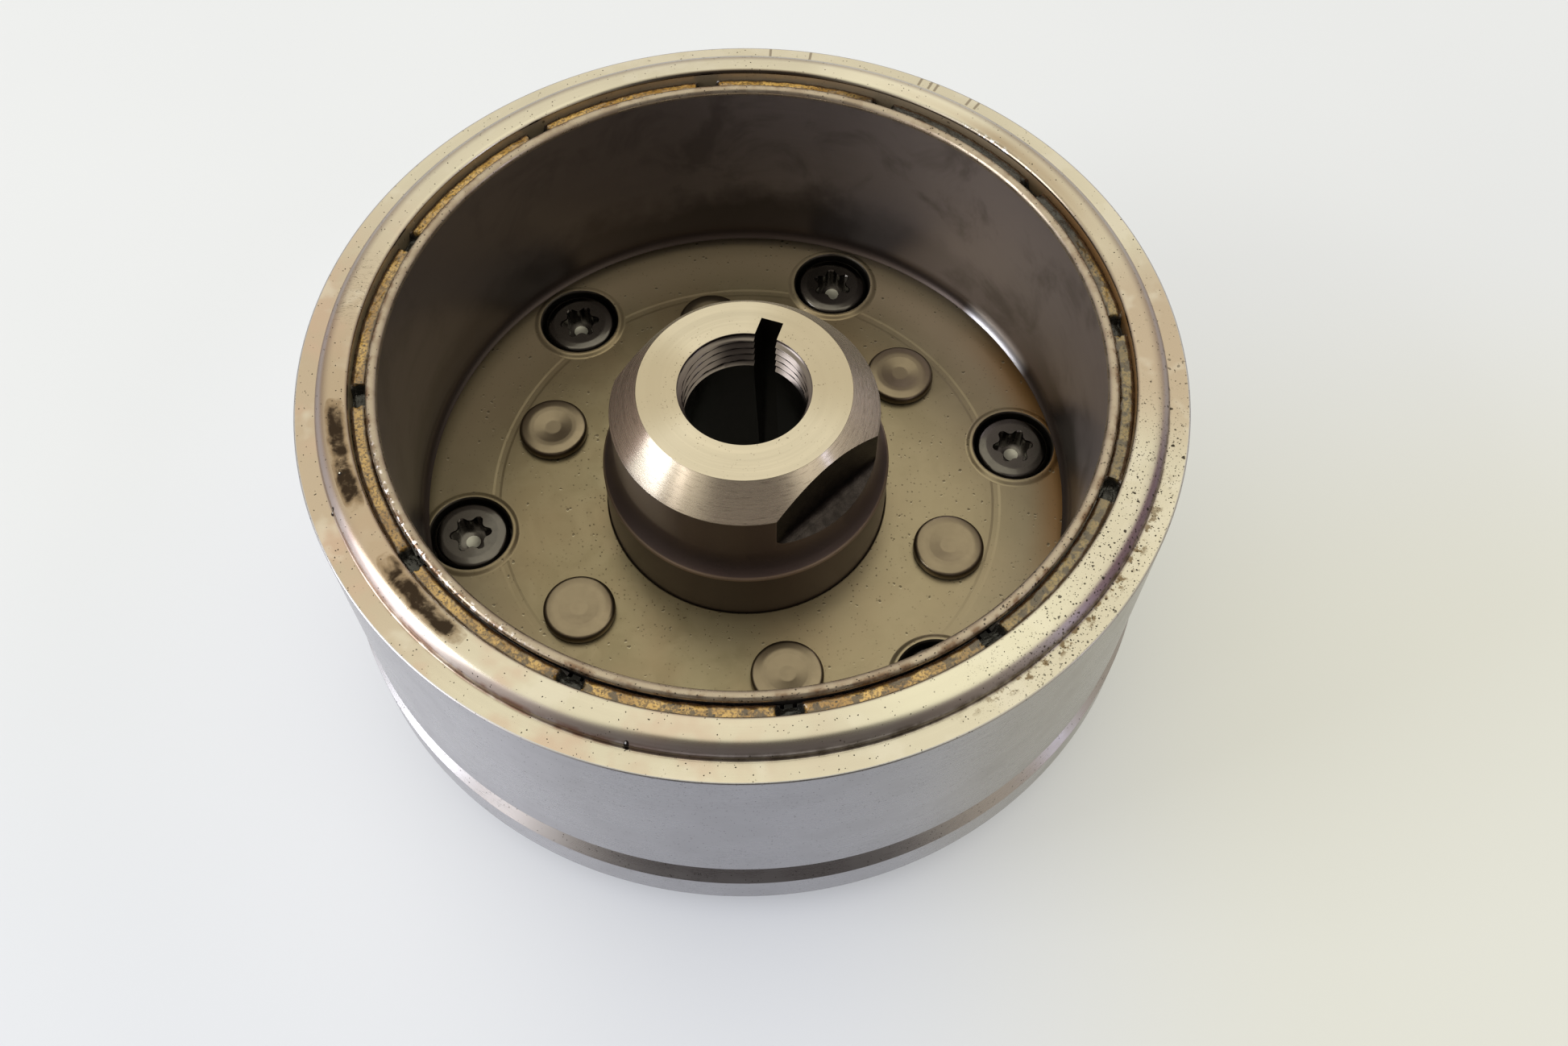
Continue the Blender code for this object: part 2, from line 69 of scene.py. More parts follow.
# ---- sizes read from the frame ----
cup_low, cup_high = node_mm("rotor_cup")
hub_low, hub_high = node_mm("hub_boss")
cover_low, cover_high = node_mm("magnet_cover")
resin_low, resin_high = node_mm("magnet_resin")
rivet_low, rivet_high = node_mm("rivet_1")
screw_low, screw_high = node_mm("clutch_screw_1")
race_high = node_mm("clutch_outer_race")[1]
spring_low, spring_high = node_mm("garter_spring")
sprag_low, sprag_high = node_mm("sprag_01")

GAP = 0.3  # clearance that the CAD keeps between touching pieces
FOOT_R = cup_high.x
COLLAR_TOP = cup_high.z
CUP_BACK = cup_low.z
FLOOR_TOP = rivet_high.z - 1.8  # the rivets' heads stand 1.8 over the floor
HUB_TOP = hub_high.z
HUB_TAIL = hub_low.z
HUB_FLANGE_R = hub_high.x
LIP_R = cover_high.x
LIP_TOP = cover_high.z
COVER_FOOT = cover_low.z
RESIN_R = resin_high.x
RESIN_TOP = resin_high.z
RACE_R = race_high.x
RACE_TOP = race_high.z

# ---- cup ----
WALL_R = FOOT_R - 0.6
FLANGE_TOP = COLLAR_TOP - 2.55
COLLAR_R = WALL_R - 3.1
CUP_BORE_R = RESIN_R + GAP
WALL_FOOT, GROOVE_R = FLOOR_TOP + 1.0, FOOT_R - 1.8
FOOT_TOP = FLOOR_TOP - 3.5
REGISTER_R, REGISTER_TOP = RACE_R + GAP, CUP_BACK + 1.0
FLOOR_GROOVE_R, FLOOR_GROOVE_WIDTH, FLOOR_GROOVE_DEPTH = 39.8, 1.5, 0.045

TIMING_MARKS = (84.9, 78.9, 61.8, 60.2, 59.2, 53.8, 52.4)  # short lines at the flange's edge, degrees

OIL_DROPS = ((203.0, 59.4, 0.42), (255.0, 59.3, 0.40), (199.0, 56.9, 0.34))  # azimuth, radius, size

# ---- hub ----
HUB_TOP_R, HUB_R, HUB_BASE_R = 15.7, 20.0, 22.0
CONE_FOOT = HUB_TOP - 5.1
HUB_BASE_TOP = FLOOR_TOP + 10.2
COVE_TOP = HUB_BASE_TOP + 5.0
COVE_SPREAD, COVE_TURN = 7.25, 43.6  # radius and sweep of the cove that flares out to the base
HUB_FLANGE_TOP = FLOOR_TOP - 5.3
HUB_TAIL_R = 16.5
THREAD_MAJOR_R, THREAD_MINOR_R, THREAD_PITCH = 9.9, 9.1, 1.5
BORE_MOUTH_R = 9.75
THREAD_TOP, THREAD_FOOT = HUB_TOP - 0.5, HUB_TOP - 6.6
TAPER_TOP_R, TAPER_FOOT_R = 9.1, 12.2
FLAT_DISTANCE, FLAT_AZIMUTH, FLAT_LEDGE = 17.1, -47.0, FLOOR_TOP + 16.2
KEYWAY_WIDTH, KEYWAY_R, KEYWAY_AZIMUTH = 3.4, 12.8, 70.0

# ---- magnets ----
MAGNETS, MAGNET_GAP_AZIMUTH = 12, 5.0
COVER_R = cover_high.x - 1.6

# ---- fasteners ----
SCREWS = 6
SCREW_PLACES = [middle_mm(f"clutch_screw_{k + 1}") for k in range(SCREWS)]
RIVET_PLACES = [middle_mm(f"rivet_{k + 1}") for k in range(SCREWS)]
COUNTERBORE_R, COUNTERBORE_DEPTH = 6.37, 4.4
RIM_R, RIM_HEIGHT = 7.44, 0.46
RIVET_R, RIVET_HEAD_R = 2.9, 5.5
RIVET_HOLE_R, SCREW_HOLE_R, SHANK_R, HEAD_R = RIVET_R + GAP, 4.3, 4.0, 6.02
SOCKET = (6.25, 4.45, 0.72)  # width across points and across waists, radius of the points
SOCKET_DEPTH = 2.4
SOCKET_TURN, SOCKET_TURNS = 3.1, (5.0, 28.0, 0.0, 12.0, 20.0, 3.7)  # for all sockets, then each screw

# ---- clutch ----
SPRAGS, PIVOT_R = 16, 30.7

# ---- fineness ----
FINE, MIDDLE, SMALL, HOLE, COARSE = 288, 192, 72, 48, 32  # steps round turned pieces
RESIN_STEPS = 1080  # steps round the resin, whose top is rough
SHARP_ANGLE = 32.0  # edges turned by more than this stay sharp
PAST = 1.0  # how far a cutter runs past a face


# =============================== meshes ===============================


def polar(radius, degrees):
    """Point in the XY plane."""
    return radius * math.cos(math.radians(degrees)), radius * math.sin(math.radians(degrees))


def rounded(corners, per_arc=5):
    """Profile of (r, z, finish) points from corners (r, z, radius, finish), each rounded by its radius."""
    points = []
    count = len(corners)
    for i, (r, z, radius, finish) in enumerate(corners):
        here = Vector((r, z))
        before = Vector(corners[i - 1][:2]) - here
        after = Vector(corners[(i + 1) % count][:2]) - here
        if radius <= 0.0 or r == 0.0:
            points.append((r, z, finish))
            continue
        a, b = before.normalized(), after.normalized()
        half = a.angle(b) / 2
        reach = radius / math.tan(half)
        centre = here + (a + b).normalized() * (radius / math.sin(half))
        start, end = here + a * reach - centre, here + b * reach - centre
        for k in range(per_arc + 1):
            share = k / per_arc
            spoke = start.slerp(end, share) * radius / start.slerp(end, share).length
            points.append((centre.x + spoke.x, centre.y + spoke.y, finish))
    return points


def lathe_mesh(profile, steps, closed=True, shape=None):
    """Turned bmesh. shape(r, z, degrees) may move a point; a finish is the index of the face after it."""
    bm = bmesh.new()
    rings = []
    for r, z, _ in profile:
        if r == 0.0:
            rings.append([bm.verts.new((0.0, 0.0, mm(z)))] * steps)
            continue
        ring = []
        for i in range(steps):
            degrees = 360.0 * i / steps
            radius, height = shape(r, z, degrees) if shape else (r, z)
            x, y = polar(mm(radius), degrees)
            ring.append(bm.verts.new((x, y, mm(height))))
        rings.append(ring)
    pairs = len(rings) if closed else len(rings) - 1
    for k in range(pairs):
        low, high = rings[k], rings[(k + 1) % len(rings)]
        for i in range(steps):
            j = (i + 1) % steps
            corners = list(dict.fromkeys((low[i], low[j], high[j], high[i])))
            face = bm.faces.new(corners)
            face.material_index = profile[k][2]
    bmesh.ops.recalc_face_normals(bm, faces=bm.faces)
    return bm


def prism_mesh(outline, foot, top, finish=0, flare=1.0):
    """Upright prism from an outline, whose top may be larger."""
    bm = bmesh.new()
    low = [bm.verts.new((mm(x), mm(y), mm(foot))) for x, y in outline]
    high = [bm.verts.new((mm(x * flare), mm(y * flare), mm(top))) for x, y in outline]
    faces = [bm.faces.new(low), bm.faces.new(high)]
    for i in range(len(outline)):
        j = (i + 1) % len(outline)
        faces.append(bm.faces.new((low[i], low[j], high[j], high[i])))
    for face in faces:
        face.material_index = finish
    bmesh.ops.recalc_face_normals(bm, faces=bm.faces)
    return bm


def piece(name, bm, finishes, place=(0.0, 0.0, 0.0), turn=0.0, sharp=SHARP_ANGLE):
    """Object with smooth shading from a bmesh, at a place in millimetres."""
    mesh = bpy.data.meshes.new(name)
    bm.to_mesh(mesh)
    bm.free()
    for finish in finishes:
        mesh.materials.append(finish)
    mesh.shade_smooth()
    mesh.set_sharp_from_angle(angle=math.radians(sharp))
    obj = bpy.data.objects.new(name, mesh)
    obj.location = [mm(value) for value in place]
    obj.rotation_euler[2] = math.radians(turn)
    bpy.context.scene.collection.objects.link(obj)
    return obj


def joined(shapes):
    """One bmesh from several (bmesh, x, y) that don't touch each other."""
    whole = bmesh.new()
    for bm, x, y in shapes:
        bmesh.ops.translate(bm, verts=bm.verts, vec=(mm(x), mm(y), 0.0))
        part = bpy.data.meshes.new("part")
        bm.to_mesh(part)
        bm.free()
        whole.from_mesh(part)
        bpy.data.meshes.remove(part)
    return whole


def copies(profile, steps, places):
    """The same turned shape for each place, as joined() takes them."""
    return [(lathe_mesh(profile, steps, closed=False), x, y) for x, y in places]


def pin(radius, foot, top, finish):
    """Profile of a plain cylinder."""
    return [(0.0, foot, finish), (radius, foot, finish), (radius, top, finish), (0.0, top, finish)]


def boolean(target, bm, operation="DIFFERENCE", turn=0.0):
    """Cuts or joins a helper shape, then deletes it."""
    cutter = piece("cutter", bm, list(target.data.materials), turn=turn)
    modifier = target.modifiers.new("boolean", "BOOLEAN")
    modifier.operation = operation
    modifier.object = cutter
    modifier.material_mode = "INDEX"
    bpy.context.view_layer.update()
    graph = bpy.context.evaluated_depsgraph_get()
    old, new = target.data, bpy.data.meshes.new_from_object(target.evaluated_get(graph))
    target.modifiers.clear()
    target.data = new
    bpy.data.meshes.remove(old)
    spent = cutter.data
    bpy.data.objects.remove(cutter)
    bpy.data.meshes.remove(spent)
    target.data.shade_smooth()
    target.data.set_sharp_from_angle(angle=math.radians(SHARP_ANGLE))


def show(obj, body, slot, *nodes):
    """Rides a piece on its body in place of its CAD nodes, with normals that keep flat faces flat."""
    even = obj.modifiers.new("even_normals", "WEIGHTED_NORMAL")
    even.keep_sharp = True
    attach(obj, body)
    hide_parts(*nodes)
    return obj


# =============================== materials ===============================


class Tree:
    """Adds nodes to a tree. Inputs take numbers, tuples or other nodes' sockets."""

    def __init__(self, tree):
        self.tree = tree
        tree.nodes.clear()

    def add(self, kind, inputs=(), output=0, **settings):
        node = self.tree.nodes.new(kind)
        for key, value in settings.items():
            setattr(node, key, value)
        for key, value in dict(inputs).items():
            socket = node.inputs[key]
            if isinstance(value, bpy.types.NodeSocket):
                self.tree.links.new(value, socket)
            else:
                socket.default_value = value
        return node.outputs[output] if node.outputs else None

    def math(self, operation, *values):
        return self.add("ShaderNodeMath", enumerate(values), operation=operation)

    def times(self, *values):
        """Product of several factors."""
        product = values[0]
        for value in values[1:]:
            product = self.math("MULTIPLY", product, value)
        return product

    def either(self, *values):
        """Largest of several factors."""
        largest = values[0]
        for value in values[1:]:
            largest = self.math("MAXIMUM", largest, value)
        return largest

    def vector(self, operation, *values, output=0):
        return self.add("ShaderNodeVectorMath", enumerate(values), output, operation=operation)

    def combine(self, x, y, z):
        return self.add("ShaderNodeCombineXYZ", enumerate((x, y, z)))

    def separate(self, vector):
        return tuple(self.add("ShaderNodeSeparateXYZ", {0: vector}).node.outputs)

    def span(self, value, low, high, to_low=0.0, to_high=1.0):
        """Maps low..high smoothly to to_low..to_high."""
        inputs = {"Value": value, "From Min": low, "From Max": high, "To Min": to_low, "To Max": to_high}
        return self.add("ShaderNodeMapRange", inputs, interpolation_type="SMOOTHSTEP")

    def below(self, value, low, high):
        """1 below low, fading to 0 at high."""
        return self.span(value, low, high, 1.0, 0.0)

    def noise(self, vector, scale, detail=2.0, roughness=0.5, w=None, distortion=0.0):
        inputs = {"Vector": vector, "Scale": scale, "Detail": detail, "Roughness": roughness}
        inputs["Distortion"] = distortion
        if w is None:
            return self.add("ShaderNodeTexNoise", inputs)
        inputs["W"] = w
        return self.add("ShaderNodeTexNoise", inputs, noise_dimensions="4D")

    def mix(self, share, first, second):
        """Colour mix."""
        first, second = [(*value, 1.0) if isinstance(value, tuple) else value for value in (first, second)]
        return self.add("ShaderNodeMix", {0: share, 6: first, 7: second}, 2, data_type="RGBA")

    def bump(self, height, distance_mm):
        inputs = {"Height": height, "Distance": mm(distance_mm), "Strength": 1.0}
        return self.add("ShaderNodeBump", inputs)

    def surface(self, **inputs):
        """Principled surface as the tree's output; an underscore in a name stands for a space."""
        named = {key.replace("_", " "): value for key, value in inputs.items()}
        shader = self.add("ShaderNodeBsdfPrincipled", named)
        self.add("ShaderNodeOutputMaterial", {"Surface": shader})


class Turned(Tree):
    """Tree with the surface's place in millimetres round the axis, and the paint laid on so far."""

    def __init__(self, tree):
        super().__init__(tree)
        self.place = self.vector("SCALE", self.add("ShaderNodeTexCoord", output=3))
        self.place.node.inputs["Scale"].default_value = 1000.0
        self.x, self.y, self.z = self.separate(self.place)
        self.flat = self.combine(self.x, self.y, 0.0)
        self.r = self.vector("LENGTH", self.flat, output=1)
        self.around = self.vector("NORMALIZE", self.flat)

    def sector(self, azimuth, half_width, soft=4.0):
        """1 near an azimuth, fading over soft degrees on either side of half_width."""
        toward = (*polar(1.0, azimuth), 0.0)
        cosine = self.vector("DOT_PRODUCT", self.around, toward, output=1)
        low = math.cos(math.radians(half_width + soft))
        high = math.cos(math.radians(max(half_width - soft, 0.0)))
        return self.span(cosine, low, high)

    def from_hollow(self, radius):
        """Distance to the nearest hollow between two magnets, on a circle of that radius."""
        angle = self.math("ARCTAN2", self.y, self.x)
        first = self.math("SUBTRACT", angle, math.radians(MAGNET_GAP_AZIMUTH))
        along = self.times(self.math("PINGPONG", first, math.pi / MAGNETS), radius)
        across = self.math("SUBTRACT", self.r, radius)
        return self.vector("LENGTH", self.combine(along, across, 0.0), output=1)

    def zone(self, value, low, high, soft=0.15):
        """1 while value is between low and high."""
        rise = self.span(value, low - soft, low + soft)
        return self.times(rise, self.below(value, high - soft, high + soft))

    def marks(self, fineness, along, detail=3.0):
        """Noise drawn out round the axis, as a lathe tool or polishing leaves it."""
        x, y, _ = self.separate(self.around)
        where = self.combine(self.times(x, along), self.times(y, along), self.times(self.z, fineness))
        return self.noise(where, 1.0, detail, 0.6, w=self.times(self.r, fineness))

    def patches(self, scale, low, high, detail=3.0, roughness=0.6):
        """1 where a cloudy noise is above high, fading to 0 at low."""
        return self.span(self.noise(self.place, scale, detail, roughness), low, high)

    def specks(self, size, share, seed=0.0, place=None):
        """Scattered spots about size mm wide, on about that share of the surface."""
        moved = self.vector("ADD", place or self.place, (seed, seed * 0.7, seed * 0.3))
        wobble = self.noise(moved, 1.3 / size, 2.0)
        near = {"Vector": moved, "Scale": 1.0 / (size * 2.2), "Randomness": 1.0}
        near = self.add("ShaderNodeTexVoronoi", near)
        keep = self.span(self.noise(moved, 0.21 / size, 1.0), 0.66 - share, 0.70 - share)
        edge = self.math("MULTIPLY_ADD", wobble, 0.5, -0.08)
        return self.times(self.below(self.math("SUBTRACT", near, edge), -0.03, 0.03), keep)

    def dirt(self, azimuth, half_width, size, share, seed):
        """Specks inside a sector."""
        return self.times(self.sector(azimuth, half_width, 12.0), self.specks(size, share, seed))

    def stain(self, colour, *factors):
        """Mixes a colour in by the product of the factors."""
        self.tone = self.mix(self.times(*factors), self.tone, colour)

    def roughen(self, factor, amount):
        """Adds to the surface's roughness."""
        self.rough = self.math("MULTIPLY_ADD", factor, amount, self.rough)

    def lift(self, height):
        """Adds to the surface's height."""
        self.height = self.math("ADD", self.height, height)


def new_material(name, kind=Tree):
    made = bpy.data.materials.new(name)
    made.use_nodes = True
    return made, kind(made.node_tree)


def shades(colour, spread):
    """A darker and a lighter shade of a colour."""
    dark = tuple(value * (1.0 - spread) for value in colour)
    light = tuple(min(value * (1.0 + spread), 1.0) for value in colour)
    return dark, light


def steel(
    name, colour, roughness, anisotropy=0.0, marks=(5.0, 3.0), depth=0.003, paint=None, spread=0.05, metal=1.0
):
    """Turned metal. paint(skin) may change its tone, roughness and height.

    metal is the share of bare metal, or a function of the skin that gives it.
    """
    made, skin = new_material(name, Turned)
    fineness, along = marks
    fine = skin.marks(fineness, along)
    broad = skin.marks(fineness * 0.16, along * 0.7, 2.0)
    cloud = skin.noise(skin.place, 0.055, 3.0, 0.55)
    dark, light = shades(colour, spread)
    both = skin.math("MULTIPLY_ADD", fine, 0.4, skin.times(broad, 0.6))
    skin.tone = skin.mix(skin.span(both, 0.3, 0.7), dark, light)
    skin.stain(tuple(value * 0.88 for value in colour), skin.span(cloud, 0.35, 0.7, 0.0, 0.5))
    skin.rough = skin.math("MULTIPLY_ADD", fine, 0.10, roughness - 0.05)
    skin.height = fine
    if paint:
        paint(skin)
    tangent = {}
    if anisotropy > 0.0:
        tangent["Tangent"] = skin.add("ShaderNodeTangent", direction_type="RADIAL", axis="Z")
    skin.surface(
        Base_Color=skin.tone,
        Metallic=metal(skin) if callable(metal) else metal,
        Roughness=skin.rough,
        Anisotropic=anisotropy,
        Anisotropic_Rotation=0.25,
        Normal=skin.bump(skin.height, depth),
        **tangent,
    )
    return made


# Painted light and shade: broad lighter and darker tints on the collar by azimuth, standing in for what it
# reflects.
COLLAR_REFLECTION_TINTS = (
    (30.0, 10.0, 0.6, (0.37, 0.315, 0.25)),
    (62.0, 9.0, 0.6, (0.62, 0.585, 0.51)),
    (200.0, 22.0, 0.75, (0.31, 0.245, 0.185)),
    (300.0, 12.0, 0.5, (0.56, 0.54, 0.45)),
)  # azimuth, half width, share and colour of broad tints on the collar


def rim_paint(skin):
    """Tints, oil, scuffs, timing marks and dirt on flange and collar, with painted light: reflection tints,
    glints, highlights on the oil drops and shade beside the hollows.
    """
    # Browner and darker towards azimuths 192 and 1.
    browner_sectors = skin.either(skin.sector(192.0, 26.0, 20.0), skin.sector(1.0, 10.0, 10.0))
    skin.stain((0.345, 0.278, 0.222), browner_sectors, 0.9)
    skin.stain((0.4, 0.29, 0.24), skin.patches(0.09, 0.44, 0.62), skin.sector(215.0, 50.0, 25.0), 0.65)
    skin.stain((0.5, 0.47, 0.43), skin.patches(0.13, 0.52, 0.66), 0.45)
    scar = skin.zone(skin.r, CUP_BORE_R + 0.1, COLLAR_R - 3.0, 0.9)
    skin.stain((0.24, 0.17, 0.11), scar, skin.sector(45.0, 16.0, 10.0), 0.8)
    rounded_edge = skin.zone(skin.r, CUP_BORE_R - 0.3, CUP_BORE_R + 0.45, 0.2)
    skin.stain((0.075, 0.052, 0.038), rounded_edge, skin.sector(62.0, 44.0, 14.0), 0.9)
    # Painted glints: small bluish-white spots on the collar's inner edge near azimuth 44.
    painted_glint_spots = skin.patches(1.6, 0.54, 0.62)
    skin.stain((0.62, 0.66, 0.76), rounded_edge, skin.sector(44.0, 5.0, 5.0), painted_glint_spots, 0.8)
    # Painted shade: the collar's bore wall is darkened beside each hollow in the resin.
    hollow = skin.below(skin.from_hollow((LIP_R + RESIN_R) / 2), 1.45, 1.75)
    skin.stain((0.02, 0.015, 0.012), hollow, skin.below(skin.z, COLLAR_TOP - 0.5, COLLAR_TOP - 0.2))
    collar = skin.zone(skin.r, CUP_BORE_R, COLLAR_R - 1.0, 0.3)
    # Painted light and shade on the collar, one tint at a time.
    for azimuth, half_width, share, shade in COLLAR_REFLECTION_TINTS:
        skin.stain(shade, skin.sector(azimuth, half_width, 10.0), collar, share)
    side = skin.zone(skin.r, COLLAR_R - 1.1, COLLAR_R + 0.1, 0.35)
    # Painted reflection: the collar's side is tinted lilac-grey and dark purple near azimuth -30, standing in
    # for what it reflects. It is also darker near azimuths -60 and 243.
    skin.stain((0.3, 0.26, 0.29), side, 0.5)
    skin.stain((0.105, 0.05, 0.085), side, skin.sector(-30.0, 10.0, 12.0), 0.8)
    for azimuth, half_width in ((-60.0, 11.0), (243.0, 7.0)):
        skin.stain((0.13, 0.105, 0.1), side, skin.sector(azimuth, half_width, 8.0), 0.6)
    for azimuth in TIMING_MARKS:
        across = skin.zone(skin.r, WALL_R - 1.9, WALL_R + 0.2, 0.1)
        skin.stain((0.12, 0.09, 0.07), skin.sector(azimuth, 0.16, 0.1), across, 0.7)
    blot = skin.noise(skin.place, 0.34, 4.0, 0.6, distortion=0.3)
    middle = skin.zone(skin.r, COLLAR_R - 4.2, COLLAR_R - 1.9, 0.6)
    lean = skin.times(skin.either(skin.sector(196.0, 8.0, 3.0), skin.sector(222.0, 7.0, 3.0)), middle)
    wet = skin.times(skin.math("MULTIPLY_ADD", lean, 0.42, blot), collar, skin.span(lean, 0.02, 0.25))
    skin.stain((0.17, 0.115, 0.07), skin.span(wet, 0.42, 0.75, 0.0, 0.7))
    oil = skin.span(wet, 0.68, 0.93)
    skin.stain((0.016, 0.01, 0.007), oil, 0.95)
    scuffs = skin.noise(skin.vector("MULTIPLY", skin.place, (0.5, 1.8, 1.0)), 0.9, 3.0, distortion=1.5)
    scuffs = skin.math("ABSOLUTE", skin.math("SUBTRACT", scuffs, 0.55))
    skin.stain((0.07, 0.055, 0.04), skin.below(scuffs, 0.0, 0.02), skin.sector(167.0, 5.0, 3.0), collar, 0.8)
    base = skin.zone(skin.r, COLLAR_R - 0.3, COLLAR_R + 0.25, 0.25)
    rust = skin.patches(0.4, 0.35, 0.6, 2.0, 0.5)
    skin.stain((0.12, 0.045, 0.018), base, skin.sector(236.0, 20.0, 14.0), rust, 0.75)
    grime = skin.patches(0.45, 0.35, 0.65, 4.0)
    skin.stain((0.06, 0.042, 0.025), base, skin.sector(-48.0, 44.0, 16.0), grime, 0.75)
    shore = skin.zone(skin.r, COLLAR_R, COLLAR_R + 1.5, 0.5)
    splash = skin.patches(0.8, 0.5, 0.6)
    skin.stain((0.1, 0.06, 0.022), shore, skin.sector(-42.0, 18.0, 8.0), splash, 0.85)
    dirt = skin.either(
        skin.dirt(-34.0, 20.0, 0.34, 0.3, 3.0),
        skin.dirt(-34.0, 20.0, 0.18, 0.36, 7.0),
        skin.dirt(-26.0, 22.0, 0.6, 0.2, 17.0),
        skin.specks(0.24, 0.12, 11.0),
    )
    skin.stain((0.025, 0.02, 0.015), dirt, 0.92)
    for azimuth, radius, size in OIL_DROPS:
        x, y = polar(radius, azimuth)
        away = skin.vector("DISTANCE", skin.flat, (x, y, 0.0), output=1)
        skin.stain((0.02, 0.015, 0.015), skin.below(away, size * 0.7, size))
        shine = skin.vector("DISTANCE", skin.flat, (x - size * 0.2, y + size * 0.35, 0.0), output=1)
        skin.stain((0.8, 0.8, 0.82), skin.below(shine, size * 0.15, size * 0.4))
    skin.roughen(side, 0.1)
    skin.roughen(oil, -0.1)
    skin.roughen(dirt, 0.35)
    skin.lift(skin.times(dirt, 2.0))


# Painted light and shade: lighter and darker tints on the wall by azimuth, standing in for what it reflects.
WALL_REFLECTION_TINTS = (
    (-42.0, 20.0, 0.55, (0.31, 0.28, 0.23)),
    (-88.0, 16.0, 0.50, (0.295, 0.29, 0.31)),
    (229.0, 10.0, 0.50, (0.50, 0.49, 0.53)),
)  # azimuth, half width, share and colour of broad tints on the wall


def wall_paint(skin):
    """Fine scratches, dirt, smears and painted light and shade tints on the outer wall."""
    slanted = skin.combine(
        skin.math("ADD", skin.x, skin.times(skin.z, 0.6)), skin.y, skin.times(skin.z, 5.0)
    )
    lines = skin.noise(slanted, 0.35, 4.0, 0.7, distortion=0.3)
    scratch = skin.below(skin.math("ABSOLUTE", skin.math("SUBTRACT", lines, 0.5)), 0.0, 0.009)
    # Painted light and shade on the wall, one tint at a time.
    for azimuth, half_width, share, shade in WALL_REFLECTION_TINTS:
        skin.stain(shade, skin.sector(azimuth, half_width, 10.0), share)
    scratch = skin.times(scratch, skin.patches(0.07, 0.46, 0.58, 2.0, 0.5))
    skin.stain((0.09, 0.085, 0.09), scratch, 0.75)
    skin.stain((0.05, 0.045, 0.045), skin.specks(0.22, 0.14, 5.0), 0.8)
    skin.roughen(skin.patches(0.1, 0.45, 0.75), 0.08)
    skin.lift(skin.times(scratch, -1.5))


def floor_paint(skin):
    """Oil film, pits and brown edge on the cup's floor, lighter towards the back and front right, with
    painted highlights on the pits' rims.
    """
    far = skin.noise(skin.place, 0.045, 3.0, 0.6)
    cloud = skin.noise(skin.place, 0.16, 3.0, 0.55, distortion=0.6)
    skin.stain((0.275, 0.235, 0.16), skin.span(cloud, 0.35, 0.65, 0.0, 0.35))
    skin.stain((0.14, 0.115, 0.07), skin.span(cloud, 0.35, 0.6, 0.25, 0.0))
    skin.stain((0.235, 0.175, 0.11), skin.span(far, 0.4, 0.7, 0.0, 0.6))
    # Lighter towards the back of the outer ring and towards the front right; darker and browner at the left
    # near the hub.
    skin.stain((0.315, 0.25, 0.175), skin.span(skin.r, 38.0, 47.0), skin.span(skin.y, -5.0, 25.0))
    skin.stain((0.27, 0.222, 0.15), skin.sector(-20.0, 45.0, 25.0), 0.6)
    skin.stain((0.155, 0.12, 0.072), skin.sector(180.0, 35.0, 25.0), skin.span(skin.r, 22.0, 30.0), 0.5)
    skin.stain((0.22, 0.105, 0.03), skin.span(skin.r, 44.0, 50.5), skin.sector(8.0, 24.0, 12.0), 0.85)
    small = skin.times(skin.specks(0.32, 0.22, 2.0), skin.span(skin.r, 24.0, 32.0, 1.0, 0.4))
    pits = skin.either(small, skin.specks(0.55, 0.1, 9.0))
    # Painted highlight: lighter copies of the large pits, moved by 0.2 mm, light one side of their rims.
    lit = skin.specks(0.55, 0.1, 9.0, skin.vector("ADD", skin.place, (0.0, 0.2, 0.0)))
    skin.stain((0.42, 0.37, 0.27), lit, 0.6)
    skin.stain((0.05, 0.035, 0.02), pits, 0.75)
    skin.lift(skin.times(pits, -16.0))


def floor_metal(skin):
    """The oil film hides more of the metal towards the edge of the floor."""
    return skin.span(skin.r, 34.0, 48.0, 0.8, 0.4)


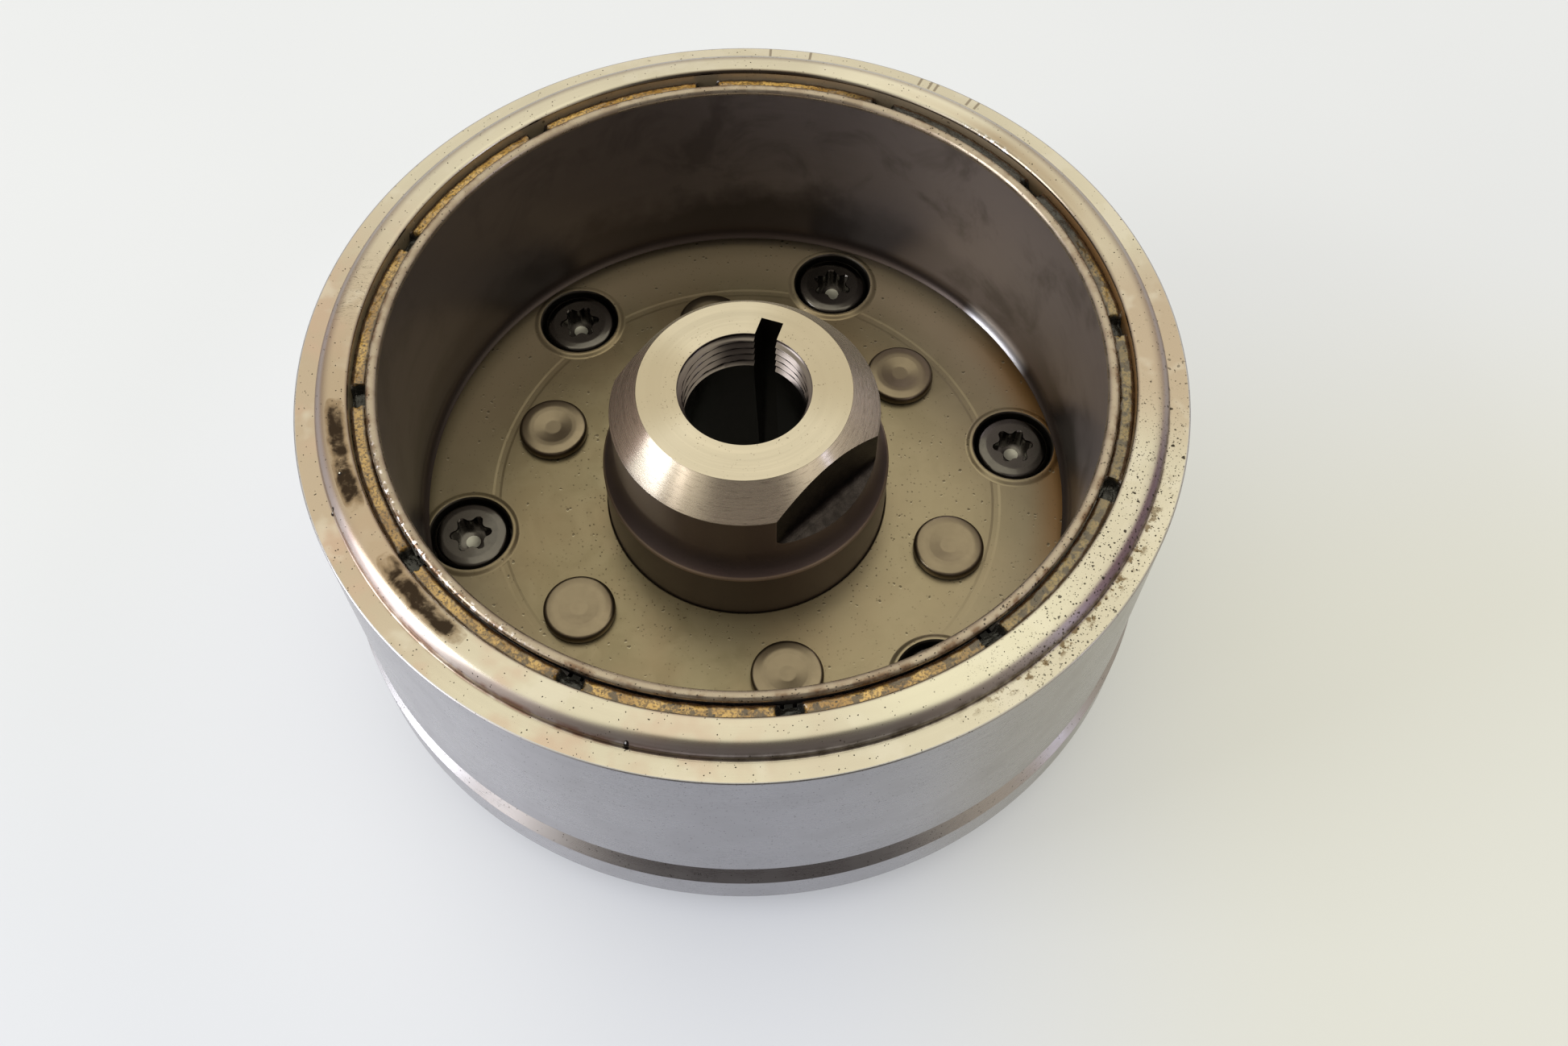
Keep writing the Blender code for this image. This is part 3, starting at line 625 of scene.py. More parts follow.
def cover_paint(skin):
    """Oily lip with black crumbs and painted glints, drawn sheet below with painted reflections, shade and a
    highlight at the foot.
    """
    lip = skin.span(skin.z, LIP_TOP - 1.2, LIP_TOP - 0.7)
    outer = skin.span(skin.r, COVER_R + 0.7, COVER_R + 1.2)
    crumbs = skin.either(
        skin.specks(0.26, 0.22, 4.0),
        skin.times(skin.specks(0.3, 0.34, 14.0), outer),
        skin.dirt(-38.0, 20.0, 0.55, 0.3, 21.0),
    )
    crumbs = skin.times(crumbs, lip)
    # Painted reflection: the sheet is darker low down, with a wavy edge, standing in for the dark hub and
    # walls it reflects.
    wave = skin.math("MULTIPLY_ADD", skin.noise(skin.place, 0.07, 4.0, 0.6), 14.0, -7.0)
    low = skin.below(skin.math("ADD", skin.z, wave), FLOOR_TOP + 9.0, FLOOR_TOP + 16.0)
    skin.stain((0.045, 0.037, 0.035), low, 0.85)
    # Painted reflection: the sheet is darker on the left and lighter near azimuth 42.
    skin.stain((0.095, 0.078, 0.074), skin.sector(160.0, 45.0, 35.0), 0.7)
    skin.stain((0.31, 0.28, 0.305), skin.sector(42.0, 14.0, 20.0), 0.6)
    smudge = skin.noise(skin.place, 0.085, 4.0, 0.6, distortion=0.5)
    skin.stain((0.08, 0.068, 0.072), skin.span(smudge, 0.48, 0.7), 0.5)
    # Painted shade on the curled foot in place of its reflection, with a painted highlight near azimuth 32.
    skin.stain((0.07, 0.054, 0.05), skin.below(skin.z, COVER_FOOT + 1.4, COVER_FOOT + 3.6))
    glint = skin.below(skin.z, COVER_FOOT + 1.2, COVER_FOOT + 3.6)
    skin.stain((0.72, 0.71, 0.8), glint, skin.sector(32.0, 4.0, 6.0))
    skin.stain((0.31, 0.26, 0.21), lip)
    brown = skin.patches(0.35, 0.42, 0.62)
    skin.stain((0.13, 0.075, 0.045), brown, lip, skin.math("MULTIPLY_ADD", outer, 0.6, 0.3))
    skin.stain((0.02, 0.016, 0.014), crumbs, 0.92)
    # Painted glints on the lip's outer side near azimuth 215.
    glints = skin.patches(1.3, 0.54, 0.6)
    skin.stain((0.85, 0.82, 0.9), lip, outer, skin.sector(215.0, 16.0, 10.0), glints)
    wet = skin.times(lip, skin.patches(0.4, 0.42, 0.6, 2.0, 0.5))
    skin.roughen(wet, -0.12)
    skin.lift(skin.math("MULTIPLY_ADD", crumbs, 2.0, skin.times(wet, 0.3)))


def hub_paint(skin):
    """Bright machined top and cone over a cylinder painted dark, with painted reflections, highlights and
    shade.
    """
    # Painted reflection: below the cone the hub is painted dark, standing in for the dark cup walls it
    # reflects.
    bright = skin.span(skin.z, CONE_FOOT - 0.15, CONE_FOOT + 0.15)
    skin.tone = skin.mix(bright, (0.195, 0.152, 0.15), skin.tone)
    cone = skin.times(skin.below(skin.z, HUB_TOP - 0.12, HUB_TOP - 0.04), bright)
    skin.stain((0.8, 0.71, 0.6), cone, 0.9)
    skin.stain((0.8, 0.62, 0.54), cone, skin.sector(180.0, 30.0), 0.8)
    skin.roughen(cone, -0.03)
    strokes = skin.noise(skin.combine(skin.x, skin.y, skin.times(skin.z, 9.0)), 0.55, 2.0, 0.5)
    skin.stain((0.3, 0.25, 0.21), cone, skin.span(strokes, 0.55, 0.68), 0.35)
    # Painted reflection: the top face is darker towards azimuths 25 and 175.
    top_reflection_shade = skin.either(skin.sector(25.0, 40.0, 25.0), skin.sector(175.0, 22.0, 22.0))
    skin.stain((0.33, 0.28, 0.21), top_reflection_shade, skin.math("SUBTRACT", 1.0, cone), bright, 0.8)
    upright = skin.zone(skin.z, COVE_TOP, CONE_FOOT, 0.8)
    # Painted highlight on the cylinder near azimuth 220, and painted shade near azimuth 335.
    skin.stain((0.42, 0.36, 0.34), upright, skin.sector(220.0, 10.0, 14.0), 0.85)
    skin.stain((0.085, 0.066, 0.064), upright, skin.sector(335.0, 18.0, 12.0), 0.6)
    skin.stain((0.115, 0.09, 0.086), skin.below(skin.z, HUB_BASE_TOP - 0.1, HUB_BASE_TOP + 0.1))
    # Painted highlight: a thin light line along the cove's lower edge.
    edge = skin.zone(skin.z, HUB_BASE_TOP - 0.15, HUB_BASE_TOP + 0.35, 0.12)
    skin.stain((0.42, 0.32, 0.25), edge, skin.span(skin.r, 20.5, 21.5))
    inside = skin.below(skin.r, 9.9, 10.1)
    skin.stain((0.1, 0.09, 0.085), inside, skin.below(skin.z, HUB_TOP - 0.6, HUB_TOP - 0.3))
    mouth = skin.times(skin.below(skin.r, 10.2, 13.5), bright)
    spots = skin.times(skin.specks(0.2, 0.15, 6.0), skin.math("MULTIPLY_ADD", mouth, 0.7, 0.25))
    skin.stain((0.06, 0.045, 0.03), spots)
    skin.lift(skin.times(spots, -2.0))


def plain(name, colour, roughness, metallic=1.0, grain=1.2, depth=0.004, spread=0.25, coat=0.0):
    """Untooled surface with mottling: forged, moulded, plated or oxide finishes."""
    made, skin = new_material(name, Turned)
    fine = skin.noise(skin.place, grain, 4.0, 0.6)
    broad = skin.noise(skin.place, grain * 0.12, 2.0, 0.5)
    dark, light = shades(colour, spread)
    skin.tone = skin.mix(skin.span(broad, 0.3, 0.7), dark, light)
    skin.stain(dark, skin.span(fine, 0.35, 0.75, 0.0, 0.5))
    skin.surface(
        Base_Color=skin.tone,
        Metallic=metallic,
        Roughness=skin.math("MULTIPLY_ADD", fine, 0.16, roughness - 0.08),
        Coat_Weight=coat,
        Coat_Roughness=0.12,
        Normal=skin.bump(fine, depth),
    )
    return made


def resin_material():
    """Amber potting resin with grains and crumbs, dark along both edges, with painted shade in the hollows.
    """
    made, skin = new_material("amber_resin_look", Turned)
    grains = skin.noise(skin.place, 2.6, 3.0, 0.65)
    cloud = skin.patches(0.22, 0.35, 0.65, 2.0, 0.5)
    skin.tone = skin.mix(cloud, (0.30, 0.16, 0.035), (0.56, 0.35, 0.10))
    skin.stain((0.11, 0.060, 0.015), skin.span(grains, 0.46, 0.58, 0.0, 0.8))
    skin.stain((0.115, 0.100, 0.050), skin.sector(-22.0, 34.0, 14.0), 0.65)
    brown = skin.patches(0.55, 0.50, 0.60)
    skin.stain((0.045, 0.028, 0.014), brown, skin.sector(-50.0, 80.0, 20.0), 0.85)
    flooded = skin.sector(44.0, 26.0, 8.0)
    skin.stain((0.014, 0.011, 0.010), flooded)
    inner = skin.below(skin.r, LIP_R + 0.25, LIP_R + 0.75)
    skin.stain((0.05, 0.025, 0.012), skin.either(inner, skin.span(skin.r, RESIN_R - 0.35, RESIN_R - 0.1)))
    # Painted shade: the hollows are painted near black.
    hollow = skin.below(skin.from_hollow((LIP_R + RESIN_R) / 2), 1.75, 2.05)
    skin.stain((0.012, 0.011, 0.010), hollow)
    crumbs = skin.specks(0.35, 0.24, 8.0)
    skin.stain((0.02, 0.016, 0.012), crumbs, 0.85)
    height = skin.math("MULTIPLY_ADD", crumbs, 3.0, skin.times(grains, 3.0))
    skin.surface(
        Base_Color=skin.tone,
        Roughness=skin.span(grains, 0.3, 0.7, 0.18, 0.42),
        Coat_Weight=skin.span(skin.either(hollow, flooded), 0.0, 1.0, 0.6, 0.1),
        Coat_Roughness=0.08,
        Normal=skin.bump(height, 0.03),
    )
    return made


# =============================== pieces ===============================


def rotor_cup(finishes):
    """Turned steel cup with counterbores, raised rims and rivet holes."""
    wall, rim, floor, back = range(4)
    groove_in = FLOOR_GROOVE_R - FLOOR_GROOVE_WIDTH / 2
    groove_out = FLOOR_GROOVE_R + FLOOR_GROOVE_WIDTH / 2
    groove_z = FLOOR_TOP - FLOOR_GROOVE_DEPTH
    hub_hole = HUB_BASE_R + 0.08
    recess_r, recess_top = HUB_FLANGE_R + GAP, HUB_FLANGE_TOP + GAP
    corners = [
        (hub_hole, recess_top, 0.0, back),
        (hub_hole, FLOOR_TOP, 0.25, floor),
        (groove_in, FLOOR_TOP, 0.25, floor),
        (groove_in + 0.4, groove_z, 0.15, floor),
        (groove_out - 0.4, groove_z, 0.15, floor),
        (groove_out, FLOOR_TOP, 0.25, floor),
        (CUP_BORE_R, FLOOR_TOP, 2.6, floor),
        (CUP_BORE_R, COLLAR_TOP, 0.6, rim),
        (COLLAR_R - 1.35, COLLAR_TOP, 2.6, rim),
        (COLLAR_R, COLLAR_TOP - 1.55, 1.1, rim),
        (COLLAR_R, FLANGE_TOP, 0.30, rim),
        (WALL_R, FLANGE_TOP, 0.28, wall),
        (WALL_R, WALL_FOOT, 0.30, wall),
        (GROOVE_R, WALL_FOOT - 0.4, 0.2, wall),
        (GROOVE_R, FOOT_TOP + 1.8, 0.4, wall),
        (FOOT_R, FOOT_TOP, 0.12, wall),
        (FOOT_R, CUP_BACK, 0.6, back),
        (REGISTER_R, CUP_BACK, 0.2, back),
        (REGISTER_R, REGISTER_TOP, 0.0, back),
        (recess_r, REGISTER_TOP, 0.2, back),
        (recess_r, recess_top, 0.0, back),
    ]
    cup = piece("rotor_cup_turned", lathe_mesh(rounded(corners, 6), FINE), finishes)
    ring_r, crest = RIM_R + 0.35, (RIM_R + COUNTERBORE_R) / 2
    ring = [(0.0, FLOOR_TOP - 0.5, floor), (ring_r, FLOOR_TOP - 0.5, floor), (ring_r, FLOOR_TOP, floor)]
    for k in range(1, 15):
        share = k / 15
        rise = 0.5 - 0.5 * math.cos(math.pi * min(1.0, share * 1.6))
        drop = 0.12 * max(0.0, share - 0.75) / 0.25
        radius = ring_r + (crest - 0.65 - RIM_R - 0.35) * share
        ring.append((radius, FLOOR_TOP + RIM_HEIGHT * rise - drop, floor))
    ring.append((0.0, FLOOR_TOP + RIM_HEIGHT - 0.12, floor))
    boolean(cup, joined(copies(ring, SMALL, SCREW_PLACES)), "UNION")
    seat, rim_top = FLOOR_TOP - COUNTERBORE_DEPTH, FLOOR_TOP + RIM_HEIGHT
    pocket = [
        (0.0, CUP_BACK - PAST, back),
        (SCREW_HOLE_R, CUP_BACK - PAST, back),
        (SCREW_HOLE_R, seat, back),
        (COUNTERBORE_R, seat, back),
        (COUNTERBORE_R, rim_top - 0.35, back),
        (COUNTERBORE_R + 0.06, rim_top - 0.2, back),
        (COUNTERBORE_R + 0.25, rim_top, back),
        (0.0, rim_top, back),
    ]
    hole = pin(RIVET_HOLE_R, CUP_BACK, FLOOR_TOP + PAST, back)
    boolean(cup, joined(copies(pocket, SMALL, SCREW_PLACES) + copies(hole, COARSE, RIVET_PLACES)))
    return show(cup, "rotor", "turned_steel", "rotor_cup")


def hub_boss(finishes):
    """Hub with brushed cone, dark body, spanner flats, puller thread, taper and keyway."""
    steel_face, forged, bore = range(3)
    corners = [
        (HUB_TAIL_R, HUB_TAIL, 0.4, steel_face),
        (HUB_TAIL_R, REGISTER_TOP, 0.3, steel_face),
        (HUB_FLANGE_R, REGISTER_TOP, 0.3, steel_face),
        (HUB_FLANGE_R, HUB_FLANGE_TOP, 0.3, steel_face),
        (HUB_BASE_R, HUB_FLANGE_TOP, 0.3, steel_face),
        (HUB_BASE_R, HUB_BASE_TOP, 0.10, steel_face),
        (HUB_R, COVE_TOP, 0.0, steel_face),
        (HUB_R, CONE_FOOT, 0.08, steel_face),
        (HUB_TOP_R, HUB_TOP, 0.08, steel_face),
        (BORE_MOUTH_R, HUB_TOP, 0.08, bore),
    ]
    profile = []
    for r, z, finish in rounded(corners, 5):
        if (r, z) == (HUB_R, COVE_TOP):
            for k in range(16, 0, -1):
                across, down = polar(COVE_SPREAD, COVE_TURN * k / 17)
                profile.append((HUB_R + COVE_SPREAD - across, COVE_TOP - down, finish))
        profile.append((r, z, finish))
    rows = 5 * 16
    for k in range(rows + 1):
        profile.append((THREAD_MAJOR_R, THREAD_TOP + (THREAD_FOOT - THREAD_TOP) * k / rows, bore))
    profile.append((TAPER_TOP_R, THREAD_FOOT - 0.4, bore))
    profile.append((TAPER_FOOT_R, HUB_TAIL, bore))

    def thread(r, z, degrees):
        """Pulls the thread's rows in along a helix."""
        if r != THREAD_MAJOR_R or not THREAD_FOOT <= z <= THREAD_TOP:
            return r, z
        phase = (z / THREAD_PITCH + degrees / 360.0) % 1.0
        rise = 1.0 - abs(2.0 * phase - 1.0)
        rise = min(1.0, rise * 1.15)
        fade = min(1.0, (THREAD_TOP - z) / 0.5)
        return THREAD_MAJOR_R - (THREAD_MAJOR_R - THREAD_MINOR_R) * rise * fade, z

    hub = piece("hub_boss_turned", lathe_mesh(profile, MIDDLE, shape=thread), finishes)
    reach, corner = HUB_BASE_R + 2.0, 1.4
    cutter_side = [(reach, HUB_TOP + PAST), (FLAT_DISTANCE, HUB_TOP + PAST)]
    for k in range(9):
        dx, dz = polar(corner, 180.0 + 90.0 * k / 8)
        cutter_side.append((FLAT_DISTANCE + corner + dx, FLAT_LEDGE + corner + dz))
    cutter_side.append((reach, FLAT_LEDGE - (reach - FLAT_DISTANCE) * 0.30))
    for side in (0.0, 180.0):
        block = prism_mesh(cutter_side, -reach, reach, forged)
        bmesh.ops.rotate(block, verts=block.verts, matrix=Matrix.Rotation(math.radians(90.0), 3, "X"))
        boolean(hub, block, turn=FLAT_AZIMUTH + side)
    half = KEYWAY_WIDTH / 2
    slot = [(0.0, -half), (KEYWAY_R, -half), (KEYWAY_R, half), (0.0, half)]
    slot = prism_mesh(slot, HUB_TAIL - PAST, HUB_TOP + PAST, bore)
    boolean(hub, slot, turn=KEYWAY_AZIMUTH)
    hole = [
        (0.0, REGISTER_TOP - PAST, forged),
        (5.8, REGISTER_TOP - PAST, forged),
        (RIVET_HOLE_R, REGISTER_TOP + 2.0, forged),
        (RIVET_HOLE_R, HUB_FLANGE_TOP + PAST, forged),
        (0.0, HUB_FLANGE_TOP + PAST, forged),
    ]
    boolean(hub, joined(copies(hole, COARSE, RIVET_PLACES)))
    return show(hub, "rotor", "hub_steel", "hub_boss")


def magnet_cover(finish):
    """Drawn sheet sleeve over the magnets, rolled at its lip and curled at its foot."""
    sheet = 0.7
    corners = [
        (COVER_R - 0.95, COVER_FOOT + 0.30, 0.06, 0),
        (COVER_R - 0.60, COVER_FOOT, 0.10, 0),
        (COVER_R + sheet, COVER_FOOT + 1.3, 1.5, 0),
        (COVER_R + sheet, LIP_TOP - 1.2, 0.2, 0),
        (LIP_R, LIP_TOP - 1.2, 0.5, 0),
        (LIP_R, LIP_TOP, 0.7, 0),
        (COVER_R, LIP_TOP, 0.85, 0),
        (COVER_R, COVER_FOOT + 1.25, 2.5, 0),
    ]
    cover = piece("magnet_cover_drawn", lathe_mesh(rounded(corners, 6), FINE), [finish])
    return show(cover, "rotor", "cover_steel", "magnet_cover")


def magnet_resin(finish):
    """Potting ring, uneven on top, with a hollow above each gap between magnets."""
    inner, foot = LIP_R + 0.04, resin_low.z
    outer = CUP_BORE_R - 0.05
    top_points = 14
    profile = [(inner, foot, 0)]
    for k in range(top_points + 1):
        profile.append((inner + (outer - inner) * k / top_points, RESIN_TOP, 0))
    profile.append((outer, foot, 0))
    step = 360.0 / MAGNETS
    pit_r, pit_depth = 1.65, 1.7

    def hollowed(r, z, degrees):
        if z < RESIN_TOP:
            return r, z
        off = (degrees - MAGNET_GAP_AZIMUTH + step / 2) % step - step / 2
        along = math.radians(off) * r
        spot = Vector((*polar(r, degrees), 3.0))
        lumps = value_noise.noise(spot * 0.9) * 0.16 + value_noise.noise(spot * 2.7) * 0.09
        apart = math.hypot(r - (inner + outer) / 2, along) + lumps
        hollow = max(0.0, min(1.0, (pit_r + 0.25 - apart) * 2.2))
        edge = max(0.0, 1.0 - min(r - inner, outer - r) / 0.4)
        return r, RESIN_TOP - 0.22 + lumps - 0.20 * edge - pit_depth * hollow

    bm = lathe_mesh(profile, RESIN_STEPS, shape=hollowed)
    resin = piece("magnet_resin_potting", bm, [finish], sharp=60.0)
    return show(resin, "rotor", "amber_resin", "magnet_resin")


def rivets(finish):
    """Rivets with a flattened head, dimpled in the middle."""
    top = rivet_high.z
    seat = FLOOR_TOP + GAP
    tail = rivet_low.z
    corners = [
        (0.0, tail, 0.0, 0),
        (4.5, tail, 0.2, 0),
        (RIVET_R, tail + 1.7, 0.0, 0),
        (RIVET_R, seat, 0.0, 0),
        (RIVET_HEAD_R, seat, 0.10, 0),
        (RIVET_HEAD_R, top - 0.18, 0.75, 0),
        (RIVET_HEAD_R - 1.6, top, 3.0, 0),
        (3.1, top - 0.06, 2.0, 0),
        (1.3, top - 0.36, 2.2, 0),
        (0.0, top - 0.38, 0.0, 0),
    ]
    profile = rounded(corners, 6)
    for k, (x, y) in enumerate(RIVET_PLACES):
        bm = lathe_mesh(profile, SMALL, closed=False)
        rivet = piece(f"rivet_head_{k + 1}", bm, [finish], (x, y, 0.0))
        show(rivet, "rotor", "rivet_steel", f"rivet_{k + 1}")


def six_lobe(across_points, across_waist, tip_round):
    """Outline of a six-lobe socket: round tips joined by hollow flanks that meet them smoothly."""
    tip = across_points / 2 - tip_round
    waist = across_waist / 2
    cosine = math.cos(math.radians(30.0))
    hollow = (tip**2 + waist**2 - 2 * tip * waist * cosine - tip_round**2) / (
        2 * (tip_round - waist + tip * cosine)
    )
    outline = []
    for k in range(6):
        tip_centre = Vector(polar(tip, 60.0 * k))
        for side in (-1, 1):
            flank_centre = Vector(polar(waist + hollow, 60.0 * k + 30.0 * side))
            join = (flank_centre - tip_centre).normalized()
            out = tip_centre.normalized()
            for share in (0.0, 0.5, 1.0) if side < 0 else (0.5, 1.0):
                blend = share if side > 0 else 1.0 - share
                outline.append(tuple(tip_centre + out.slerp(join, blend) * tip_round))
        flank_centre = Vector(polar(waist + hollow, 60.0 * k + 30.0))
        start = (tip_centre - flank_centre).normalized()
        end = (Vector(polar(tip, 60.0 * (k + 1))) - flank_centre).normalized()
        for share in (0.2, 0.4, 0.6, 0.8):
            outline.append(tuple(flank_centre + start.slerp(end, share) * hollow))
    return outline


def clutch_screws(finishes):
    """Black screws with a domed edge and a six-lobe socket that ends in a drill point."""
    top, foot = screw_high.z, screw_low.z
    seat = FLOOR_TOP - COUNTERBORE_DEPTH + GAP
    corners = [
        (0.0, foot, 0.0, 0),
        (3.2, foot, 0.0, 0),
        (SHANK_R, foot + 0.8, 0.0, 0),
        (SHANK_R, seat, 0.2, 0),
        (HEAD_R, seat, 0.2, 0),
        (HEAD_R, top - 0.85, 0.7, 0),
        (5.45, top - 0.20, 0.9, 0),
        (4.4, top, 2.0, 0),
        (0.0, top, 0.0, 0),
    ]
    low = top - SOCKET_DEPTH
    # The drill point's faces take finish 1, a lighter finish that is a painted highlight.
    point = [(0.0, low - 0.55, 1), (1.15, low - 0.30, 0), (2.2, low + 0.05, 0), (0.0, low + 0.05, 1)]
    for k, (x, y) in enumerate(SCREW_PLACES):
        head = lathe_mesh(rounded(corners, 6), SMALL, closed=False)
        screw = piece(f"clutch_screw_head_{k + 1}", head, finishes)
        boolean(screw, prism_mesh(six_lobe(*SOCKET), low, top + PAST), turn=SOCKET_TURN)
        boolean(screw, prism_mesh(six_lobe(*SOCKET), top - 0.22, top + 0.22, flare=1.14), turn=SOCKET_TURN)
        boolean(screw, lathe_mesh(point, SMALL // 2, closed=False))
        screw.location = (mm(x), mm(y), 0.0)
        screw.rotation_euler[2] = math.radians(SOCKET_TURNS[k])
        show(screw, "rotor", "black_oxide", f"clutch_screw_{k + 1}")


def clutch_outer_race(finish):
    """Hardened ring under the cup."""
    bore, groove_r, groove_foot, groove_top = 34.9, 36.0, 1.6, 2.7
    corners = [
        (RACE_R, 0.0, 0.8, 0),
        (RACE_R, RACE_TOP, 0.3, 0),
        (bore, RACE_TOP, 0.3, 0),
        (bore, groove_top, 0.08, 0),
        (groove_r, groove_top, 0.0, 0),
        (groove_r, groove_foot, 0.0, 0),
        (bore, groove_foot, 0.08, 0),
        (bore, 0.0, 0.8, 0),
    ]
    race = piece("clutch_race_ground", lathe_mesh(rounded(corners, 5), FINE), [finish])
    hole = pin(SCREW_HOLE_R, -PAST, RACE_TOP + PAST, 0)
    boolean(race, joined(copies(hole, HOLE, SCREW_PLACES)))
    return show(race, "rotor", "race_steel", "clutch_outer_race")


def sprags(finish):
    """Figure-of-eight sprags with a notch for the spring."""
    cam_r, cam_side, cam_rise, waist = 3.6, 0.5, 0.3, 1.9
    half = [(waist, 0.0)]
    for k in range(13):
        dx, dy = polar(cam_r, 45.0 + 90.0 * k / 12)
        half.append((dx - cam_side, dy + cam_rise))
    outline = half + [(-x, -y) for x, y in half]
    notch_y, past = 0.8, 9.0
    notch = [(-past, notch_y), (past, notch_y), (past, past), (-past, past)]
    spring_z = (spring_low.z + spring_high.z) / 2
    for k in range(SPRAGS):
        name = f"sprag_{k + 1:02d}"
        x, y = middle_mm(name)
        bm = prism_mesh(outline, sprag_low.z, sprag_high.z)
        azimuth = math.degrees(math.atan2(y, x))
        sprag = piece(f"{name}_body", bm, [finish])
        boolean(sprag, prism_mesh(notch, spring_z - 1.0, spring_z + 1.0))
        bevel = sprag.modifiers.new("edges", "BEVEL")
        bevel.width = mm(0.18)
        bevel.segments = 2
        bevel.angle_limit = math.radians(40.0)
        sprag.location = (*[mm(value) for value in polar(PIVOT_R, azimuth)], 0.0)
        sprag.rotation_euler[2] = math.radians(azimuth - 90.0)
        show(sprag, name, "sprag_steel", name)


def garter_spring(finish):
    """Close-wound coil spring bent into a ring."""
    middle = (spring_low.z + spring_high.z) / 2
    coil_r, wire_r, coils, per_coil, sides = 0.44, 0.15, 330, 12, 6
    ring_r = spring_high.x - 0.6
    bm = bmesh.new()
    rings = []
    total = coils * per_coil
    for i in range(total):
        around = math.radians(360.0 * i / total)
        winding = math.radians(360.0 * i / per_coil)
        outward = Vector((math.cos(around), math.sin(around), 0.0))
        up = Vector((0.0, 0.0, 1.0))
        spoke = outward * math.cos(winding) + up * math.sin(winding)
        turn_dir = -outward * math.sin(winding) + up * math.cos(winding)
        forward = Vector((-math.sin(around), math.cos(around), 0.0)) * (ring_r / coils) + turn_dir * coil_r
        forward.normalize()
        side = forward.cross(spoke).normalized()
        centre = outward * ring_r + spoke * coil_r + up * middle
        ring = []
        for s in range(sides):
            angle = 2 * math.pi * s / sides
            round_wire = spoke * math.cos(angle) + side * math.sin(angle)
            ring.append(bm.verts.new(mm(centre + round_wire * wire_r)))
        rings.append(ring)
    for i in range(total):
        low, high = rings[i], rings[(i + 1) % total]
        for s in range(sides):
            t = (s + 1) % sides
            bm.faces.new((low[s], low[t], high[t], high[s]))
    bmesh.ops.recalc_face_normals(bm, faces=bm.faces)
    spring = piece("garter_spring_coil", bm, [finish], sharp=80.0)
    return show(spring, "cage", "spring_steel", "garter_spring")


def carry_over(finishes):
    """CAD nodes whose shape is right: they keep their mesh and get a finish."""
    for name, finish in finishes.items():
        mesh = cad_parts[name].data
        mesh.materials.clear()
        mesh.materials.append(finish)


# =============================== stage ===============================


def floor_plane():
    """Large pale table top under the part that glows with painted light: brighter near the left, a warm
    painted shade to the right, bluish at the front, dark under the part.
    """
    made, tree = new_material("table")
    place = tree.add("ShaderNodeTexCoord", output=3)
    cloud = tree.noise(place, 9.0, 3.0, 0.5)
    tone = tree.mix(tree.span(cloud, 0.3, 0.7), (0.30, 0.315, 0.35), (0.31, 0.325, 0.36))
    x, y, _ = tree.separate(place)
    apart = tree.vector("LENGTH", tree.combine(x, y, 0.0), output=1)
    # Painted light: the table glows, though it is no lamp.
    painted_table_light = tree.mix(tree.span(y, -0.10, 0.03), (0.35, 0.36, 0.41), (0.375, 0.38, 0.395))
    painted_light_near_left = tree.times(tree.below(apart, 0.06, 0.12), tree.below(x, -0.07, 0.0))
    painted_table_light = tree.mix(painted_light_near_left, painted_table_light, (0.45, 0.455, 0.49))
    # Painted shade: warmer and dimmer to the right of the part.
    right = tree.times(tree.span(x, 0.0, 0.09), tree.below(y, -0.02, 0.07))
    painted_table_light = tree.mix(right, painted_table_light, (0.335, 0.325, 0.265))
    # Painted shadow: no glow under the part.
    painted_table_light = tree.mix(tree.span(apart, mm(RACE_R), mm(FOOT_R)), (0.012, 0.013, 0.010), painted_table_light)
    tree.surface(Base_Color=tone, Roughness=0.6, Emission_Color=painted_table_light, Emission_Strength=1.0)
    bm = bmesh.new()
    half, drop = 2.5, mm(-0.05)
    corners = [bm.verts.new((x * half, y * half, drop)) for x, y in ((-1, -1), (1, -1), (1, 1), (-1, 1))]
    bm.faces.new(corners)
    table = piece("table_top", bm, [made])


def sky():
    """Soft room light: warm ceiling, dim horizon, dark where the viewer stands in front."""
    world = bpy.data.worlds.new("room")
    bpy.context.scene.world = world
    world.use_nodes = True
    tree = Tree(world.node_tree)
    toward = tree.add("ShaderNodeTexCoord", output=0)
    x, y, z = tree.separate(toward)
    high = tree.span(z, 0.05, 0.95)
    tone = tree.mix(high, (0.78, 0.69, 0.60), (1.68, 1.62, 1.30))
    level = tree.vector("NORMALIZE", tree.combine(x, y, 0.0))
    front = tree.vector("DOT_PRODUCT", level, (*polar(1.0, -88.0), 0.0), output=1)
    shade = tree.times(tree.span(front, 0.62, 0.93), tree.span(z, 0.82, 0.985, 0.96, 0.0))
    tone = tree.mix(shade, tone, (0.10, 0.085, 0.08))
    camera_ray = tree.add("ShaderNodeLightPath", output=0)
    tone = tree.mix(camera_ray, tone, (0.80, 0.80, 0.81))
    background = tree.add("ShaderNodeBackground", {"Color": tone, "Strength": 1.0})
    tree.add("ShaderNodeOutputWorld", {"Surface": background})


def window(name, azimuth, elevation, distance, size, power, colour):
    """Area light facing the part; distance and size in metres, power in watts."""
    light = bpy.data.lights.new(name, "AREA")
    light.shape = "RECTANGLE"
    light.size, light.size_y = size
    light.energy = power
    light.color = colour
    obj = bpy.data.objects.new(name, light)
    x, y = polar(distance * math.cos(math.radians(elevation)), azimuth)
    obj.location = (x, y, distance * math.sin(math.radians(elevation)))
    toward = Vector((0.0, 0.0, mm(FLANGE_TOP))) - Vector(obj.location)
    obj.rotation_euler = toward.to_track_quat("-Z", "Y").to_euler()
    obj.visible_camera = False
    bpy.context.scene.collection.objects.link(obj)


